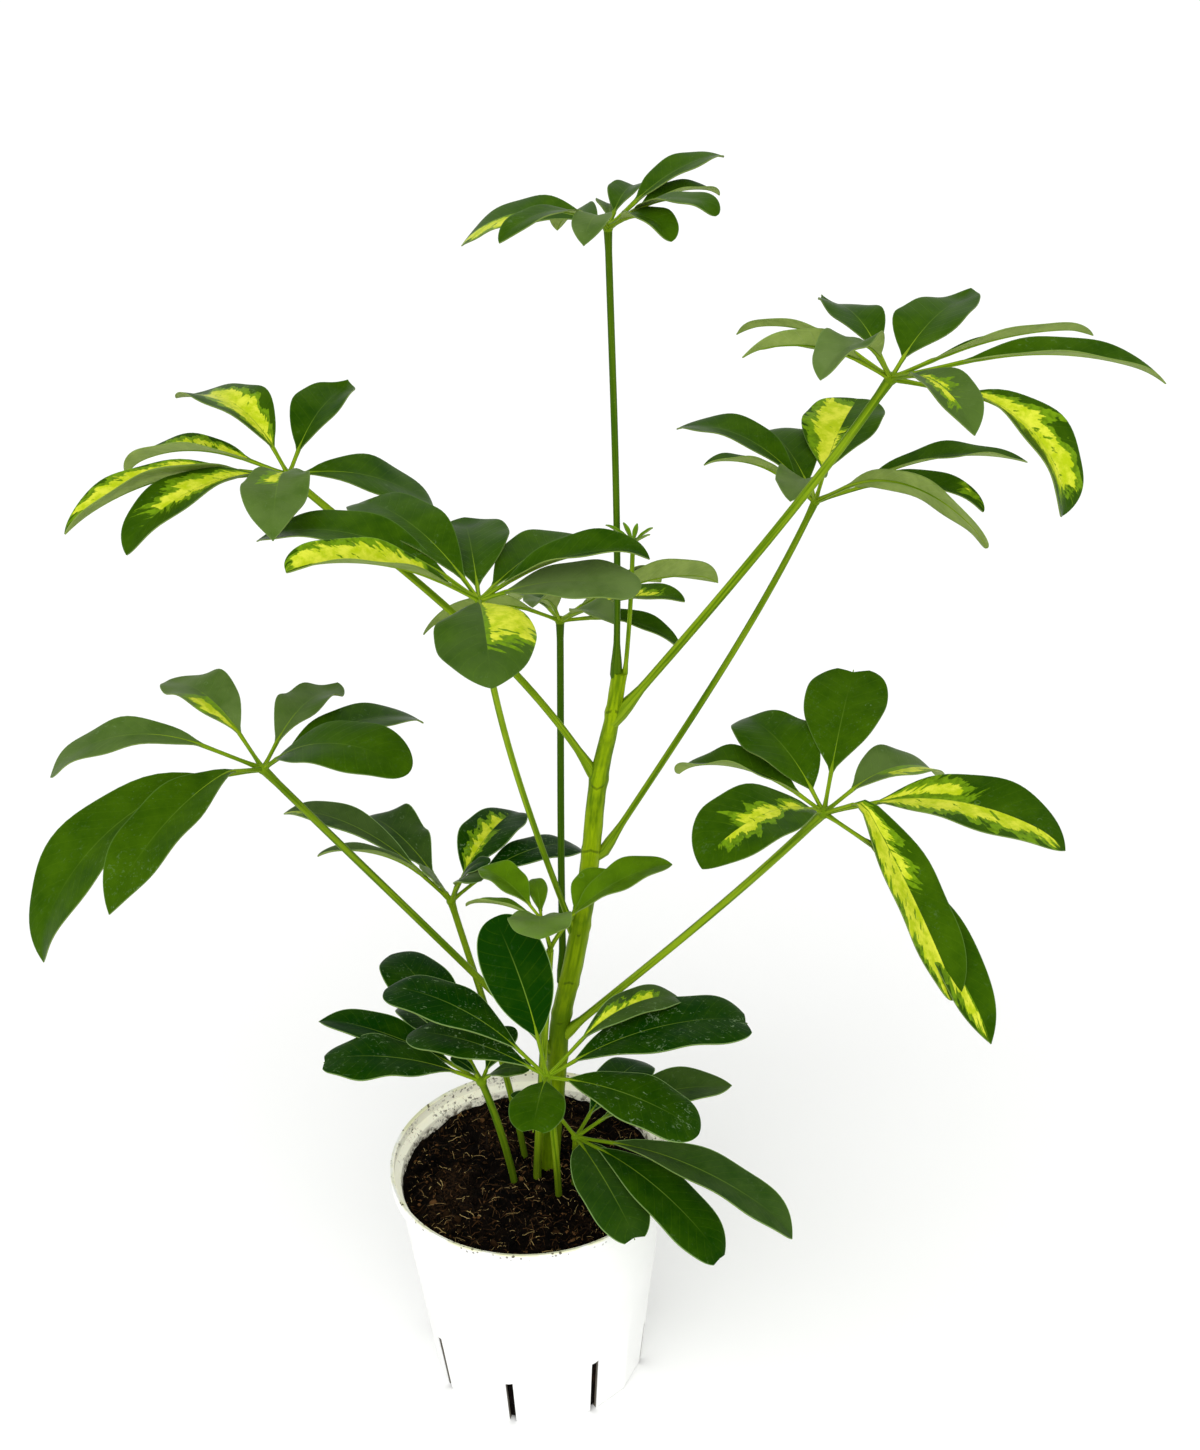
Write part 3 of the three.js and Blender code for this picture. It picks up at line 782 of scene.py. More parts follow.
def marks_of_wear(f, where, at, low, seed):
    """Smears, lines, scratches, dust and rings of lime scale. The low leaves have more of them."""
    smear = f.cloud(f.joined(at.side * at.half * 0.5, at.share * at.length * 0.2, seed), 1, 5, 0.75)
    scratch = f.cloud(f.joined(at.side * at.half * 1.5, at.vein * at.length * 0.22, seed * 1.7), 1, 4, 0.7)
    line = abs(f.cloud(where, 55, 4, 0.7) - 0.5).ramp(0.014, 0.004) * f.cloud(where, 38, 2).ramp(0.52, 0.6)
    broken = f.cloud(where, 520, 4, 0.7).ramp(0.46, 0.6)
    dust = f.cells(where, 620).ramp(0.2, 0.08) * f.cloud(where, 80, 2).ramp(0.5, 0.62)
    drop = f.cells(where, 260)
    ring = drop.ramp(0.2, 0.27) * drop.ramp(0.36, 0.3)
    ring = ring * f.cloud(where, 330, 3).ramp(0.5, 0.6) * f.cloud(where, 45, 2).ramp(0.56, 0.64)
    wash = (smear.ramp(0.6, 0.66) + line) * (low * 0.5 + 0.1) + scratch.ramp(0.63, 0.68) * (low * 0.6 + 0.12)
    return (wash * broken + dust * 0.12 + ring * 0.3) * at.worn


def blade_face():
    """The upper face: green with a fine pale rib and edge, bands of lime, a grey-green painted sheen, and
    marks of wear.
    """
    f = Finish("leaf_upper_face", {"Specular IOR Level": 0.03, "Specular Tint": GREEN_SHEEN})
    at, where = blade_spot(f), f.place()
    fresh, painted_sheen, seed = f.kept("leaf_tone_and_sheen").parts()
    low = fresh.ramp(0.2, 0.1)
    mottle = f.cloud(where, 95, 5, 0.65)
    shade = (mottle - 0.5) * 0.4 + (f.cloud(where, 32, 2) - 0.5) * 0.24
    shade = shade + ((seed * 0.37).fraction() - 0.5) * 0.08
    colour = f.mix(fresh + shade * (fresh * 1.6 + 0.7), DEEP_GREEN, YOUNG_GREEN)
    # A greyer green in clouds, as strong as the leaflet's sheen share: a painted sheen, reflected light
    # painted into the colour.
    sheen = painted_sheen * f.cloud(where, 60, 3).ramp(0.05, 0.65)
    colour = f.mix(sheen, colour, PAINTED_SHEEN_GREEN)
    lime, half_lime = lime_bands(f, at)
    colour = f.mix(half_lime * (f.cloud(where, 420, 3).ramp(0.35, 0.6) * 0.4 + 0.5), colour, MID_GREEN)
    yellow = f.mix(f.cloud(where, 190, 5, 0.65).ramp(0.36, 0.66), LIME, PALE_LIME)
    colour = f.mix(lime, colour, yellow)
    across = at.away * at.half
    rib = across.ramp(0.34, 0.1) * at.share.ramp(0.95, 0.3) * (low * 0.45 + 0.3)
    colour = f.mix(rib, colour, RIB_GREEN)
    edge = (at.half - across).ramp(0.55, 0.15) * (low * 0.6 + 0.15)
    colour = f.mix(edge, colour, EDGE_GREEN)
    veins = side_veins(at, 0.43)
    colour = f.mix(veins * 0.06, colour, MID_GREEN)
    wash = marks_of_wear(f, where, at, low, seed)
    colour = f.mix(wash, colour, SCRATCH_GREEN)
    roughness = 0.3 + mottle * 0.14 + wash * 0.6 + sheen * 0.12
    relief = f.cloud(where, 600, 4) * 0.3 - veins * 0.45 - rib * 1.2
    return f.wears(Base_Color=colour, Roughness=roughness, Normal=f.bump(relief, 0.00025, 0.45))


def blade_back():
    """The lower face: matt pale green with a raised net of veins, the lime bands showing faintly."""
    f = Finish("leaf_lower_face", {"Specular IOR Level": 0.2, "Specular Tint": GREEN_SHEEN})
    at, where = blade_spot(f), f.place()
    mottle = f.cloud(where, 130, 4)
    colour = f.mix(mottle.ramp(0.3, 0.7), BACK_GREEN, PALE_BACK)
    lime, half_lime = lime_bands(f, at)
    colour = f.mix(lime * 0.5 + half_lime * 0.15, colour, BACK_LIME)
    veins = side_veins(at, 0.4)
    colour = f.mix(veins * 0.22, colour, BACK_VEIN)
    edge = (at.half - at.away * at.half).ramp(0.4, 0.1)
    colour = f.mix(edge * 0.4, colour, BACK_EDGE)
    relief = veins * 0.6 + f.cells(where, 1100) * 0.3
    return f.wears(Base_Color=colour, Roughness=0.62 + mottle * 0.15, Normal=f.bump(relief, 0.0002, 0.5))


def stalk_skin():
    """The green skin of petioles and stalks, with darker lines along them and a few specks."""
    f = Finish("stalk_skin", {"Specular IOR Level": 0.1, "Specular Tint": GREEN_SHEEN})
    where = f.place()
    along, round_it, _ = f.spread().parts()
    dark, _, seed = f.kept("leaf_tone_and_sheen").parts()
    turned = abs(round_it - 0.5)
    streaks = f.cloud(f.joined(turned * 9, along * 3, seed), 1, 4, 0.6)
    patches = f.cloud(where, 30, 3)
    colour = f.mix(streaks.ramp(0.36, 0.6), STALK_LINE, STALK_GREEN)
    colour = f.mix(patches.ramp(0.5, 0.75) * 0.5, colour, STALK_PATCH)
    colour = f.mix(dark, colour, DARK_STALK)
    # Stalks turn darker in patches low down, towards the mix.
    low = where.parts()[2].ramp(0.17, 0.1)
    colour = f.mix(low * (patches.ramp(0.3, 0.6) * 0.4 + 0.45), colour, DARKER_LOW_STALK)
    speck = f.cells(where, 520).ramp(0.12, 0.06)
    colour = f.mix(speck * 0.3, colour, STALK_SPECK)
    bump = f.bump(streaks * 0.7 + speck, 0.0002, 0.5)
    return f.wears(Base_Color=colour, Roughness=0.38 + patches * 0.2, Normal=bump)


def trunk_bark():
    """Smooth green bark, darker low down, with a broken scar at each node and flecks of cork."""
    f = Finish("trunk_bark", {"Specular IOR Level": 0.1, "Specular Tint": GREEN_SHEEN})
    where = f.place()
    z = where.parts()[2]
    turned = abs(f.spread().parts()[1] - 0.5)
    streaks = f.cloud(f.joined(turned * 14, z * 40, 0.3), 1, 4, 0.6)
    patches = f.cloud(f.joined(turned * 3, z * 34, 4), 1, 4, 0.6)
    colour = f.mix(streaks.ramp(0.3, 0.66), BARK_LINE, BARK_GREEN)
    colour = f.mix(patches.ramp(0.46, 0.64) * 0.7, colour, BARK_PATCH)
    # Darker in patches low down, towards the mix.
    low = z.ramp(0.26, 0.17) * patches.ramp(0.15, 0.5)
    colour = f.mix(low * 0.7, colour, DARKER_LOW_BARK)
    scar = 0
    for number, height in enumerate(TRUNK_NODES):
        slant = (turned - 0.25) * (0.012 if number % 2 else -0.012)
        broken = f.cloud(f.joined(turned * 5, number * 3.1, 0), 1, 2).ramp(0.5, 0.6)
        scar = abs(z - height * MM + slant).ramp(0.001, 0.0002) * broken + scar
    colour = f.mix(scar * 0.6, colour, SCAR_GREEN)
    fleck = f.cells(f.joined(turned * 26, z * 900, 1), 1).ramp(0.16, 0.08)
    colour = f.mix(fleck * 0.4, colour, CORK)
    relief = streaks * 0.7 - scar + fleck
    return f.wears(Base_Color=colour, Roughness=0.4 + patches * 0.2, Normal=f.bump(relief, 0.0004, 0.5))


def pot_plastic():
    """White plastic, cream inside with a faint painted glow above the mix, with a yellowed rim, specks of
    soil and stained slots.
    """
    fixed = {"Specular IOR Level": 0.4, "Coat Weight": 0.1, "Coat Roughness": 0.15, "Emission Strength": 0.12}
    f = Finish("pot_plastic", fixed)
    where = f.place()
    z = where.parts()[2]
    inside = f.kept("wall_depth").parts()[0]
    clouds = f.cloud(where, 30, 3)
    stain = f.cloud(where, 85, 4)
    colour = f.mix(clouds.ramp(0.3, 0.7), COOL_WHITE, POT_WHITE)
    colour = f.mix(inside.ramp(0.4, 0.8) * (stain * 0.7 + 0.3), colour, CREAM)
    rim = z.ramp(0.1166, 0.1178) * stain.ramp(0.36, 0.6)
    colour = f.mix(rim * 0.8, colour, RIM_STAIN)
    speck = f.cells(where, 400).ramp(0.3, 0.2) * z.ramp(0.1135, 0.1176) * stain.ramp(0.42, 0.54)
    splash = f.cloud(where, 500, 5, 0.75).ramp(0.53, 0.62) * f.cloud(where, 75, 3).ramp(0.44, 0.6)
    splash = splash.larger(z.ramp(0.1105, 0.1075) * f.cloud(where, 300, 4, 0.7).ramp(0.44, 0.6))
    slots = inside.ramp(0.1, 0.3) * z.ramp(0.038, 0.036)
    dirt = speck.larger(splash * inside.ramp(0.6, 0.9)).larger(slots)
    colour = f.mix(dirt * 0.9, colour, DIRT)
    ripple = f.cloud(where, 900, 2) * 0.05 + dirt * 0.3
    roughness = 0.26 + clouds * 0.06 + dirt * 0.45 + inside * 0.15
    # Painted light: with the emission strength set above, the inside wall above the mix glows faintly in its
    # own colour.
    painted_glow = f.mix(inside.ramp(0.6, 0.9) * z.ramp(0.095, 0.105), (0, 0, 0), colour)
    return f.wears(
        Base_Color=colour, Roughness=roughness, Emission_Color=painted_glow, Normal=f.bump(ripple, 0.0003, 0.3)
    )


def potting_mix():
    """Moist mix with painted shade in its hollows, near black where its lumps dip, and brown crumbs by the
    tint that each one keeps.
    """
    f = Finish("potting_mix", {"Specular IOR Level": 0.04})
    where = f.place()
    tint = f.kept("mix_tint").parts()[0]
    # The clouds that raise the lumps also colour them: near black low down as painted shade in the hollows,
    # dark brown on top.
    clods = f.cloud(where, 260, 5, 0.65)
    colour = f.mix(clods.ramp(0.35, 0.72), PAINTED_HOLLOW_SHADE, MIX_CLOD)
    red = f.cloud(where, 38, 3).ramp(0.5, 0.66) * f.cloud(where, 700, 4, 0.7).ramp(0.45, 0.6)
    colour = f.mix(red * 0.6, colour, RED_BARK)
    colour = f.mix(tint.ramp(0.5, 1.1), colour, BROWN_CRUMB)
    grains = f.cells(where, 900).ramp(0.2, 0.1) * f.cloud(where, 200, 2).ramp(0.56, 0.66)
    colour = f.mix(grains * 0.3, colour, PALE_GRAIN)
    relief = clods + f.cloud(where, 1400, 3) * 0.5
    return f.wears(Base_Color=colour, Roughness=0.85 + clods * 0.1, Normal=f.bump(relief, 0.0009, 1.0))


def coir():
    """Bits of coir and straw from dark brown to straw yellow, each of its own tint."""
    f = Finish("coir_fibre", {"Specular IOR Level": 0.1})
    where = f.place()
    tint = f.kept("mix_tint").parts()[0]
    colour = f.mix(tint.ramp(0.3, 0.85), DARK_COIR, BROWN_COIR)
    colour = f.mix(tint.ramp(0.8, 0.97), colour, STRAW)
    colour = f.mix(f.cloud(where, 900, 2).ramp(0.4, 0.7) * 0.4, colour, COIR_SHADE)
    return f.wears(Base_Color=colour, Roughness=0.75 + tint * 0.1)


def tubes(runs, sides_step=4):
    """Round runs as one mesh. Each run is its points and the radius at each of them."""
    data = bpy.data.curves.new("run", "CURVE")
    data.dimensions = "3D"
    data.bevel_depth = 1
    data.bevel_resolution = sides_step
    data.use_fill_caps = True
    for points, radii in runs:
        spline = data.splines.new("POLY")
        spline.points.add(len(points) - 1)
        for bead, point, radius in zip(spline.points, points, radii):
            bead.co = (*point, 1)
            bead.radius = radius
    rod = bpy.data.objects.new("run", data)
    mesh = bpy.data.meshes.new_from_object(rod)
    bpy.data.objects.remove(rod)
    bpy.data.curves.remove(data)
    return mesh


def grow_on(bm, mesh, slot=None):
    """Adds a mesh to a bmesh. Where a slot is given, the mesh gets the material in that slot."""
    if slot is not None:
        mesh.polygons.foreach_set("material_index", [slot] * len(mesh.polygons))
    bm.from_mesh(mesh)
    bpy.data.meshes.remove(mesh)


def piece_of(name, bm, finishes):
    """A finished piece that stands for the node of that name."""
    mesh = bpy.data.meshes.new(name + "_finished")
    bm.to_mesh(mesh)
    bm.free()
    for finish in finishes:
        mesh.materials.append(finish)
    piece = bpy.data.objects.new(mesh.name, mesh)
    bpy.context.scene.collection.objects.link(piece)
    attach(piece, "root")
    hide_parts(name)
    return piece


def blade_half(leaflet, habit, share):
    """Half the blade's width: a wedge at the base, then a round or a pointed tip."""
    widest = habit["widest"]
    if share < widest:
        outline = sin(pi / 2 * share / widest) ** habit["wedge"]
    else:
        out = (share - widest) / (1 - widest)
        reach = BLADE["dented_reach"] if habit["notch"] else 1
        outline = (1 - (out * reach) ** BLADE["roundness"]) ** habit["tip"]
    least = lerp(STALK["radius"], BLADE["tip_half"], share)
    return max(least, leaflet.width / 2 * outline) * MM


def rib_run(hub, leaflet, habit, shares):
    """The rib at each share of the blade: its point, and the directions along, left and up there."""
    frames = []
    at = hub + heading(leaflet.turn, leaflet.rise) * leaflet.stalk * MM
    level = heading(leaflet.turn + 90)

    def pitch(share):
        bent = leaflet.dip * smoothstep(share, 0, BLADE["dip_reach"]) + leaflet.droop * share
        return leaflet.rise - bent - habit["hook"] * smoothstep(share, BLADE["hook_start"], 1)

    last = 0
    for share in shares:
        at = at + heading(leaflet.turn, pitch((share + last) / 2)) * (share - last) * leaflet.length * MM
        along = heading(leaflet.turn, pitch(share))
        roll = leaflet.roll + habit["twist"] * smoothstep(share, BLADE["twist_start"], 1)
        left = Matrix.Rotation(radians(roll), 3, along) @ level
        frames.append((at, along, left, along.cross(left)))
        last = share
    return frames


KEPT_ON_BLADES = ("blade_size", "left_band", "left_reach", "right_band", "right_reach", "leaf_tone_and_sheen")


def blade(frames, shares, leaflet, habit, rng):
    """One blade on its rib: a fine sheet, bent and waved, then given its thickness."""
    across, along = BLADE["across"], BLADE["along"]
    bm = leaf_bmesh()
    spread = bm.loops.layers.uv["UVMap"]
    kept = {name: bm.verts.layers.float_vector[name] for name in KEPT_ON_BLADES}
    bmesh.ops.create_grid(bm, x_segments=across, y_segments=along, size=1)
    phase, seed = rng.random(), rng.random() * SEEDS
    rows = {vert: round((vert.co.y + 1) / 2 * along) for vert in bm.verts}
    for face in bm.faces:
        for loop in face.loops:
            loop[spread].uv = (-loop.vert.co.x, shares[rows[loop.vert]])
    for vert in bm.verts:
        side, share = -vert.co.x, shares[rows[vert]]
        at, ahead, left, up = frames[rows[vert]]
        half = blade_half(leaflet, habit, share)
        fold = radians(lerp(*habit["fold"], share))
        lag = phase + (BLADE["wave_lag"] if side > 0 else 0)
        wave = habit["wave"] * sin(2 * pi * (BLADE["waves"] * share + lag)) * side**2
        soft = BLADE["fold_softness"]
        bend = (sqrt(side**2 + soft) - sqrt(soft)) * sin(fold) - habit["curl"] * abs(side) ** 3 + wave
        dent = habit["notch"] * MM * (1 - abs(side)) * smoothstep(share, BLADE["dent_start"], 1)
        lift = bend * half + BLADE["thick"] / 2 * MM
        vert.co = at + left * side * half * cos(fold) + up * lift - ahead * dent
        vert[kept["blade_size"]] = (half / MM, leaflet.length, habit["worn"])
        for name in ("left", "right"):
            vert[kept[f"{name}_band"]] = (*habit[name][:2], seed)
            vert[kept[f"{name}_reach"]] = (*habit[name][2:], 0)
        # Each point keeps its fresher green, its share of painted sheen, and its seed.
        vert[kept["leaf_tone_and_sheen"]] = (habit["fresh"], habit["painted_sheen"], seed)
    bm.normal_update()
    thickened(bm, BLADE["thick"] * MM)
    mesh = bpy.data.meshes.new("blade")
    bm.to_mesh(mesh)
    bm.free()
    return mesh


def thickened(bm, thickness):
    """Gives a sheet its thickness at its back. The back and the rim get the second material."""
    front = set(bm.faces)
    bmesh.ops.solidify(bm, geom=list(front), thickness=thickness)
    for face in bm.faces:
        face.smooth = True
        face.material_index = 0 if face in front else 1
    for edge in bm.edges:
        if len({face in front for face in edge.link_faces}) == 2:
            edge.smooth = False


def leaf_bmesh():
    bm = bmesh.new()
    bm.loops.layers.uv.new("UVMap")
    for name in KEPT_ON_BLADES:
        bm.verts.layers.float_vector.new(name)
    return bm


def grow_stalks(bm, runs, dark, seed):
    """Adds stalks of one green, from 0 light to 1 dark."""
    stalks = tubes(runs)
    tones = stalks.attributes.new("leaf_tone_and_sheen", "FLOAT_VECTOR", "POINT")
    for entry in tones.data:
        entry.vector = (dark, 0, seed)
    grow_on(bm, stalks, 2)


def grow_leaf(bm, name, spec, fresh, start=None):
    """Adds a whole leaf: its petiole, its hub, and each leaflet with its stalk and the rib under it.

    start is a point inside the trunk, for a petiole that leaves it.
    """
    rng = random.Random(name)
    base, hub = metres(spec["base"]), metres(spec["hub"])
    handles = [metres(handle) for handle in spec["handles"]]
    petiole = interpolate_bezier(base, *handles, hub, PETIOLE["points"])
    flare = PETIOLE["sheath" if start else "foot"]
    radii = []
    for point in range(PETIOLE["points"]):
        place = point / (PETIOLE["points"] - 1)
        wider = flare * (1 - smoothstep(place, 0, PETIOLE["flare_reach"]))
        wider += PETIOLE["neck"] * smoothstep(place, PETIOLE["neck_start"], 1)
        radii.append(spec["petiole"] * (1 + wider) * MM)
    if start:
        petiole, radii = [start, *petiole], [radii[0], *radii]
    runs = []
    shares = [1 - (1 - row / BLADE["along"]) ** BLADE["crowding"] for row in range(BLADE["along"] + 1)]
    flat = name in LOW_LEAVES
    for index, numbers in enumerate(spec["leaflets"]):
        leaflet = Leaflet(*numbers)
        habit = {**PLAIN, **(LOW_LEAF if flat else {}), **HABITS.get(name, {}).get(index, {})}
        habit["fresh"] += LOW_LEAF_FRESH if flat else fresh
        frames = rib_run(hub, leaflet, habit, shares)
        grow_on(bm, blade(frames, shares, leaflet, habit, rng))
        ahead = heading(leaflet.turn, leaflet.rise)
        points, widths = [], []
        steps, thick = STALK["steps"], min(1, spec["petiole"] / FULL_PETIOLE)
        for step in range(steps + 1):
            points.append(hub + ahead * leaflet.stalk * step / steps * MM)
            swell = STALK["swell"] * (1 - smoothstep(step, 0, STALK["swell_steps"]))
            swell += STALK["neck"] * smoothstep(step, STALK["neck_step"], steps)
            widths.append(STALK["radius"] * thick * (1 + swell) * MM)
        slim = min(1, leaflet.width / RIB["full_width"]) * thick
        for (at, _, _, up), share in list(zip(frames, shares))[1:-1]:
            radius = lerp(STALK["radius"], RIB["end_radius"], share ** RIB["thinning"]) * slim * MM
            sink = smoothstep(share, 0, RIB["sink_reach"]) * RIB["sink"]
            points.append(at - up * radius * sink)
            widths.append(radius)
        runs.append((points, widths))
    grow_stalks(bm, [(petiole, radii)], spec.get("dark", LIGHT_STALK), rng.random() * SEEDS)
    grow_stalks(bm, runs, LIGHT_STALK, rng.random() * SEEDS)
    ball = bmesh.ops.create_icosphere(
        bm, subdivisions=3, radius=spec["petiole"] * PETIOLE["hub"] * MM, matrix=Matrix.Translation(hub)
    )["verts"]
    for face in {face for vert in ball for face in vert.link_faces}:
        face.material_index = 2
        face.smooth = True


def smooth_run(points, steps):
    """A smooth run through points, with steps between each two."""
    run = []
    for i in range(len(points) - 1):
        before = points[max(0, i - 1)]
        start, end = points[i], points[i + 1]
        after = points[min(len(points) - 1, i + 2)]
        reach = (end - start).length / 3
        leave = (end - before).normalized() * reach
        arrive = (after - start).normalized() * reach
        run += interpolate_bezier(start, start + leave, end - arrive, end, steps + 1)[:-1]
    return [*run, points[-1]]


def trunk_middle(z):
    """The middle of the trunk at a height in millimetres."""
    above = next((i for i, (at, _) in enumerate(TRUNK) if at[2] > z), len(TRUNK) - 1)
    (low, _), (high, _) = TRUNK[above - 1], TRUNK[above]
    return metres(low).lerp(metres(high), (z - low[2]) / (high[2] - low[2]))


def trunk_piece():
    """The trunk, a little lumpy, with a ring at each node."""
    bm = bmesh.new()
    run = smooth_run([metres(at) for at, _ in TRUNK], 24)
    radii = []
    heights = [at[2] for at, _ in TRUNK]
    for point in run:
        z = point.z / MM
        above = next((i for i, height in enumerate(heights) if height > z), len(heights) - 1)
        low, high = max(0, above - 1), max(1, above)
        share = min(1, max(0, (z - heights[low]) / (heights[high] - heights[low])))
        nearest = min(abs(z - node) for node in TRUNK_NODES)
        swell = NODE_RING["swell"] * (1 - smoothstep(nearest, 0, NODE_RING["reach"]))
        radii.append((lerp(TRUNK[low][1], TRUNK[high][1], share) + swell) * MM)
    grow_on(bm, tubes([(run, radii)], 8), 0)
    for vert in bm.verts:
        middle = min(run, key=lambda point: abs(point.z - vert.co.z))
        out = (vert.co - middle).normalized()
        lump = noise.noise(Vector((vert.co.x * 400, vert.co.y * 400, vert.co.z * 120)))
        vert.co += out * lump * BARK_LUMP * MM
    return piece_of("main_stem", bm, [trunk_bark()])


def wall_radius(turn, z):
    """The pot's outer wall below its lip: a polygon at the foot that fades to a circle."""
    round_one = lerp(POT["foot_radius"], POT["rim_radius"] - POT["lip_reach"], z / POT["height"])
    side = 360 / POT["corners"]
    from_middle = (turn - POT["corner_turn"]) % side - side / 2
    flat = round_one * cos(radians(side / 2)) / cos(radians(from_middle))
    return lerp(flat, round_one, smoothstep(z, 0, POT["facet_fade"]))


def chain(bm, places):
    """A row of points with an edge between each two, to be spun."""
    verts = [bm.verts.new(Vector(place) * MM) for place in places]
    edges = [bm.edges.new(pair) for pair in zip(verts, verts[1:])]
    return verts + edges


def spun(bm, geom, steps):
    bmesh.ops.spin(
        bm, geom=geom, cent=(0, 0, 0), axis=(0, 0, 1), dvec=(0, 0, 0),
        angle=2 * pi, steps=steps, use_merge=True, use_duplicate=False,
    )
    bmesh.ops.remove_doubles(bm, verts=bm.verts, dist=0.00002)


def pot_piece():
    """The pot: a sheet spun round, faceted at its foot, slotted, and given its wall."""
    bm = bmesh.new()
    depth = bm.verts.layers.float_vector.new("wall_depth")
    height, rim, lip_foot = POT["height"], POT["rim_radius"], POT["height"] - POT["lip_depth"]
    foot = POT["foot_radius"]
    ring = [(0, 0, 0), (20, 0, 0), (36, 0, 0), (SLOT["foot_reach"], 0, 0), (47, 0, 0)]
    ring += [(foot - 1, 0, 0), (foot - 0.6, 0, 0.12), (foot - 0.2, 0, 0.5), (foot, 0, 1.1)]
    heights = [3, 6, 10, 14, 18, 22, 25, SLOT["short"], 30, 32, SLOT["long"], 37, 41, 46, 52, 58, 64, 70]
    heights += [75, 82, 90, 98, 104, lip_foot - 1.2]
    ring += [(foot, 0, z) for z in heights]
    ring += [(rim - 2.2, 0, lip_foot - 0.5), (rim - 1.3, 0, lip_foot - 0.1), (rim - 0.5, 0, lip_foot + 0.1)]
    ring += [(rim - 0.1, 0, lip_foot + 0.5), (rim, 0, lip_foot + 1.1), (rim, 0, lip_foot + 3.5)]
    ring += [(rim, 0, height - 1), (rim - 0.05, 0, height - 0.4), (rim - 0.2, 0, height)]
    geom = chain(bm, ring)
    bmesh.ops.rotate(
        bm, verts=[v for v in geom if isinstance(v, bmesh.types.BMVert)], cent=(0, 0, 0),
        matrix=Matrix.Rotation(radians(SLOT["first_turn"]), 3, "Z"),
    )
    spun(bm, geom, POT["columns"])
    for vert in bm.verts:
        reach, z = vert.co.xy.length / MM, vert.co.z / MM
        turn = degrees(atan2(vert.co.y, vert.co.x))
        if z <= lip_foot - 1 and reach > 1:
            wanted = wall_radius(turn, z) * (reach / foot)
            vert.co.xy *= wanted / reach
    step = 360 / SLOT["count"]
    gone = []
    for face in bm.faces:
        middle = face.calc_center_median()
        turn = degrees(atan2(middle.y, middle.x)) - SLOT["first_turn"]
        number = round(turn / step) % SLOT["count"]
        off = abs((turn + step / 2) % step - step / 2)
        tall = SLOT["short"] if number % 2 else SLOT["long"]
        half = SLOT["columns"] / 2 * 360 / POT["columns"]
        if off < half and middle.z < tall * MM and middle.xy.length > SLOT["foot_reach"] * MM:
            gone.append(face)
    bmesh.ops.delete(bm, geom=gone, context="FACES")
    for vert in bm.verts:
        turn = degrees(atan2(vert.co.y, vert.co.x)) - SLOT["first_turn"]
        off = (turn + step / 2) % step - step / 2
        if abs(off) < SLOT["slant_turn"]:
            tops = (SLOT["short"], SLOT["long"])
            near = max(1 - abs(vert.co.z / MM - top) / SLOT["slant_height"] for top in tops)
            vert.co.z += max(0, near) * off * SLOT["top_slant"] * MM
    bmesh.ops.recalc_face_normals(bm, faces=bm.faces)
    outer = set(bm.verts)
    bmesh.ops.solidify(bm, geom=list(bm.faces), thickness=POT["wall"] * MM)
    for vert in bm.verts:
        vert[depth] = (0 if vert in outer else 1, 0, 0)
    for face in bm.faces:
        face.smooth = True
    for edge in bm.edges:
        if len(edge.link_faces) == 2 and edge.calc_face_angle() > radians(SHARP_EDGE):
            edge.smooth = False
    return piece_of("pot", bm, [pot_plastic()])


def soil_height(x, y):
    """The lumpy top of the mix at a place, all in millimetres."""
    inner = wall_radius(degrees(atan2(y, x)), SOIL["level"]) - POT["wall"]
    share = min(1, sqrt(x * x + y * y) / inner)
    wave = sin(x * 0.21 + 1.3) * cos(y * 0.17 - 0.4)
    wave += 0.6 * sin(x * 0.43 - y * 0.37 + 2.1) + 0.4 * cos(x * 0.71 + y * 0.58)
    clod = noise.fractal(Vector((x, y, 3)) * 0.22, 0.8, 2, 4)
    crown = SOIL["crown"] * (1 - share * share)
    return SOIL["level"] + crown + SOIL["lump"] / 2 * wave + clod * SOIL["clod"]


def scattered(rng, reach):
    """A random place on the mix, no further out than reach."""
    turn, out = rng.random() * 360, sqrt(rng.random()) * reach
    return heading(turn).xy * out


def tint_of(bm, verts, tint):
    kept = bm.verts.layers.float_vector["mix_tint"]
    for vert in verts:
        vert[kept] = (tint, 0, 0)


def crumbs(bm, rng, count, sizes, subdivisions):
    """Lumps and crumbs of sizes in a range, most of them small."""
    for _ in range(count):
        x, y = scattered(rng, LITTER_REACH["crumb"])
        size = lerp(*sizes, rng.random() ** 2.2)
        turned = Euler([rng.random() * 6 for _ in range(3)]).to_matrix().to_4x4()
        shape = Matrix.Diagonal((1, lerp(0.5, 1, rng.random()), lerp(0.4, 0.9, rng.random()), 1))
        place = Matrix.Translation(Vector((x, y, soil_height(x, y) + size * 0.25)) * MM)
        lump = bmesh.ops.create_icosphere(
            bm, subdivisions=subdivisions, radius=size * MM, matrix=place @ turned @ shape
        )["verts"]
        for vert in lump:
            vert.co += Vector([rng.uniform(-0.16, 0.16) * size for _ in range(3)]) * MM
        tint_of(bm, lump, rng.random() ** 3)


def chips(bm, rng, count):
    """Flat chips of bark, lying at all angles."""
    for _ in range(count):
        x, y = scattered(rng, LITTER_REACH["chip"])
        long = lerp(1, 3.8, rng.random() ** 2)
        lie = Euler((rng.uniform(-0.5, 0.5), rng.uniform(-0.5, 0.5), rng.random() * 6)).to_matrix().to_4x4()
        shape = Matrix.Diagonal((long, long * rng.uniform(0.3, 0.6), rng.uniform(0.3, 0.7), 1))
        place = Matrix.Translation(Vector((x, y, soil_height(x, y) + 0.6)) * MM)
        chip = bmesh.ops.create_cube(bm, size=MM, matrix=place @ lie @ shape)["verts"]
        for vert in chip:
            vert.co += Vector([rng.uniform(-0.3, 0.3) for _ in range(3)]) * MM
        tint_of(bm, chip, rng.random() ** 1.5 * 1.1)


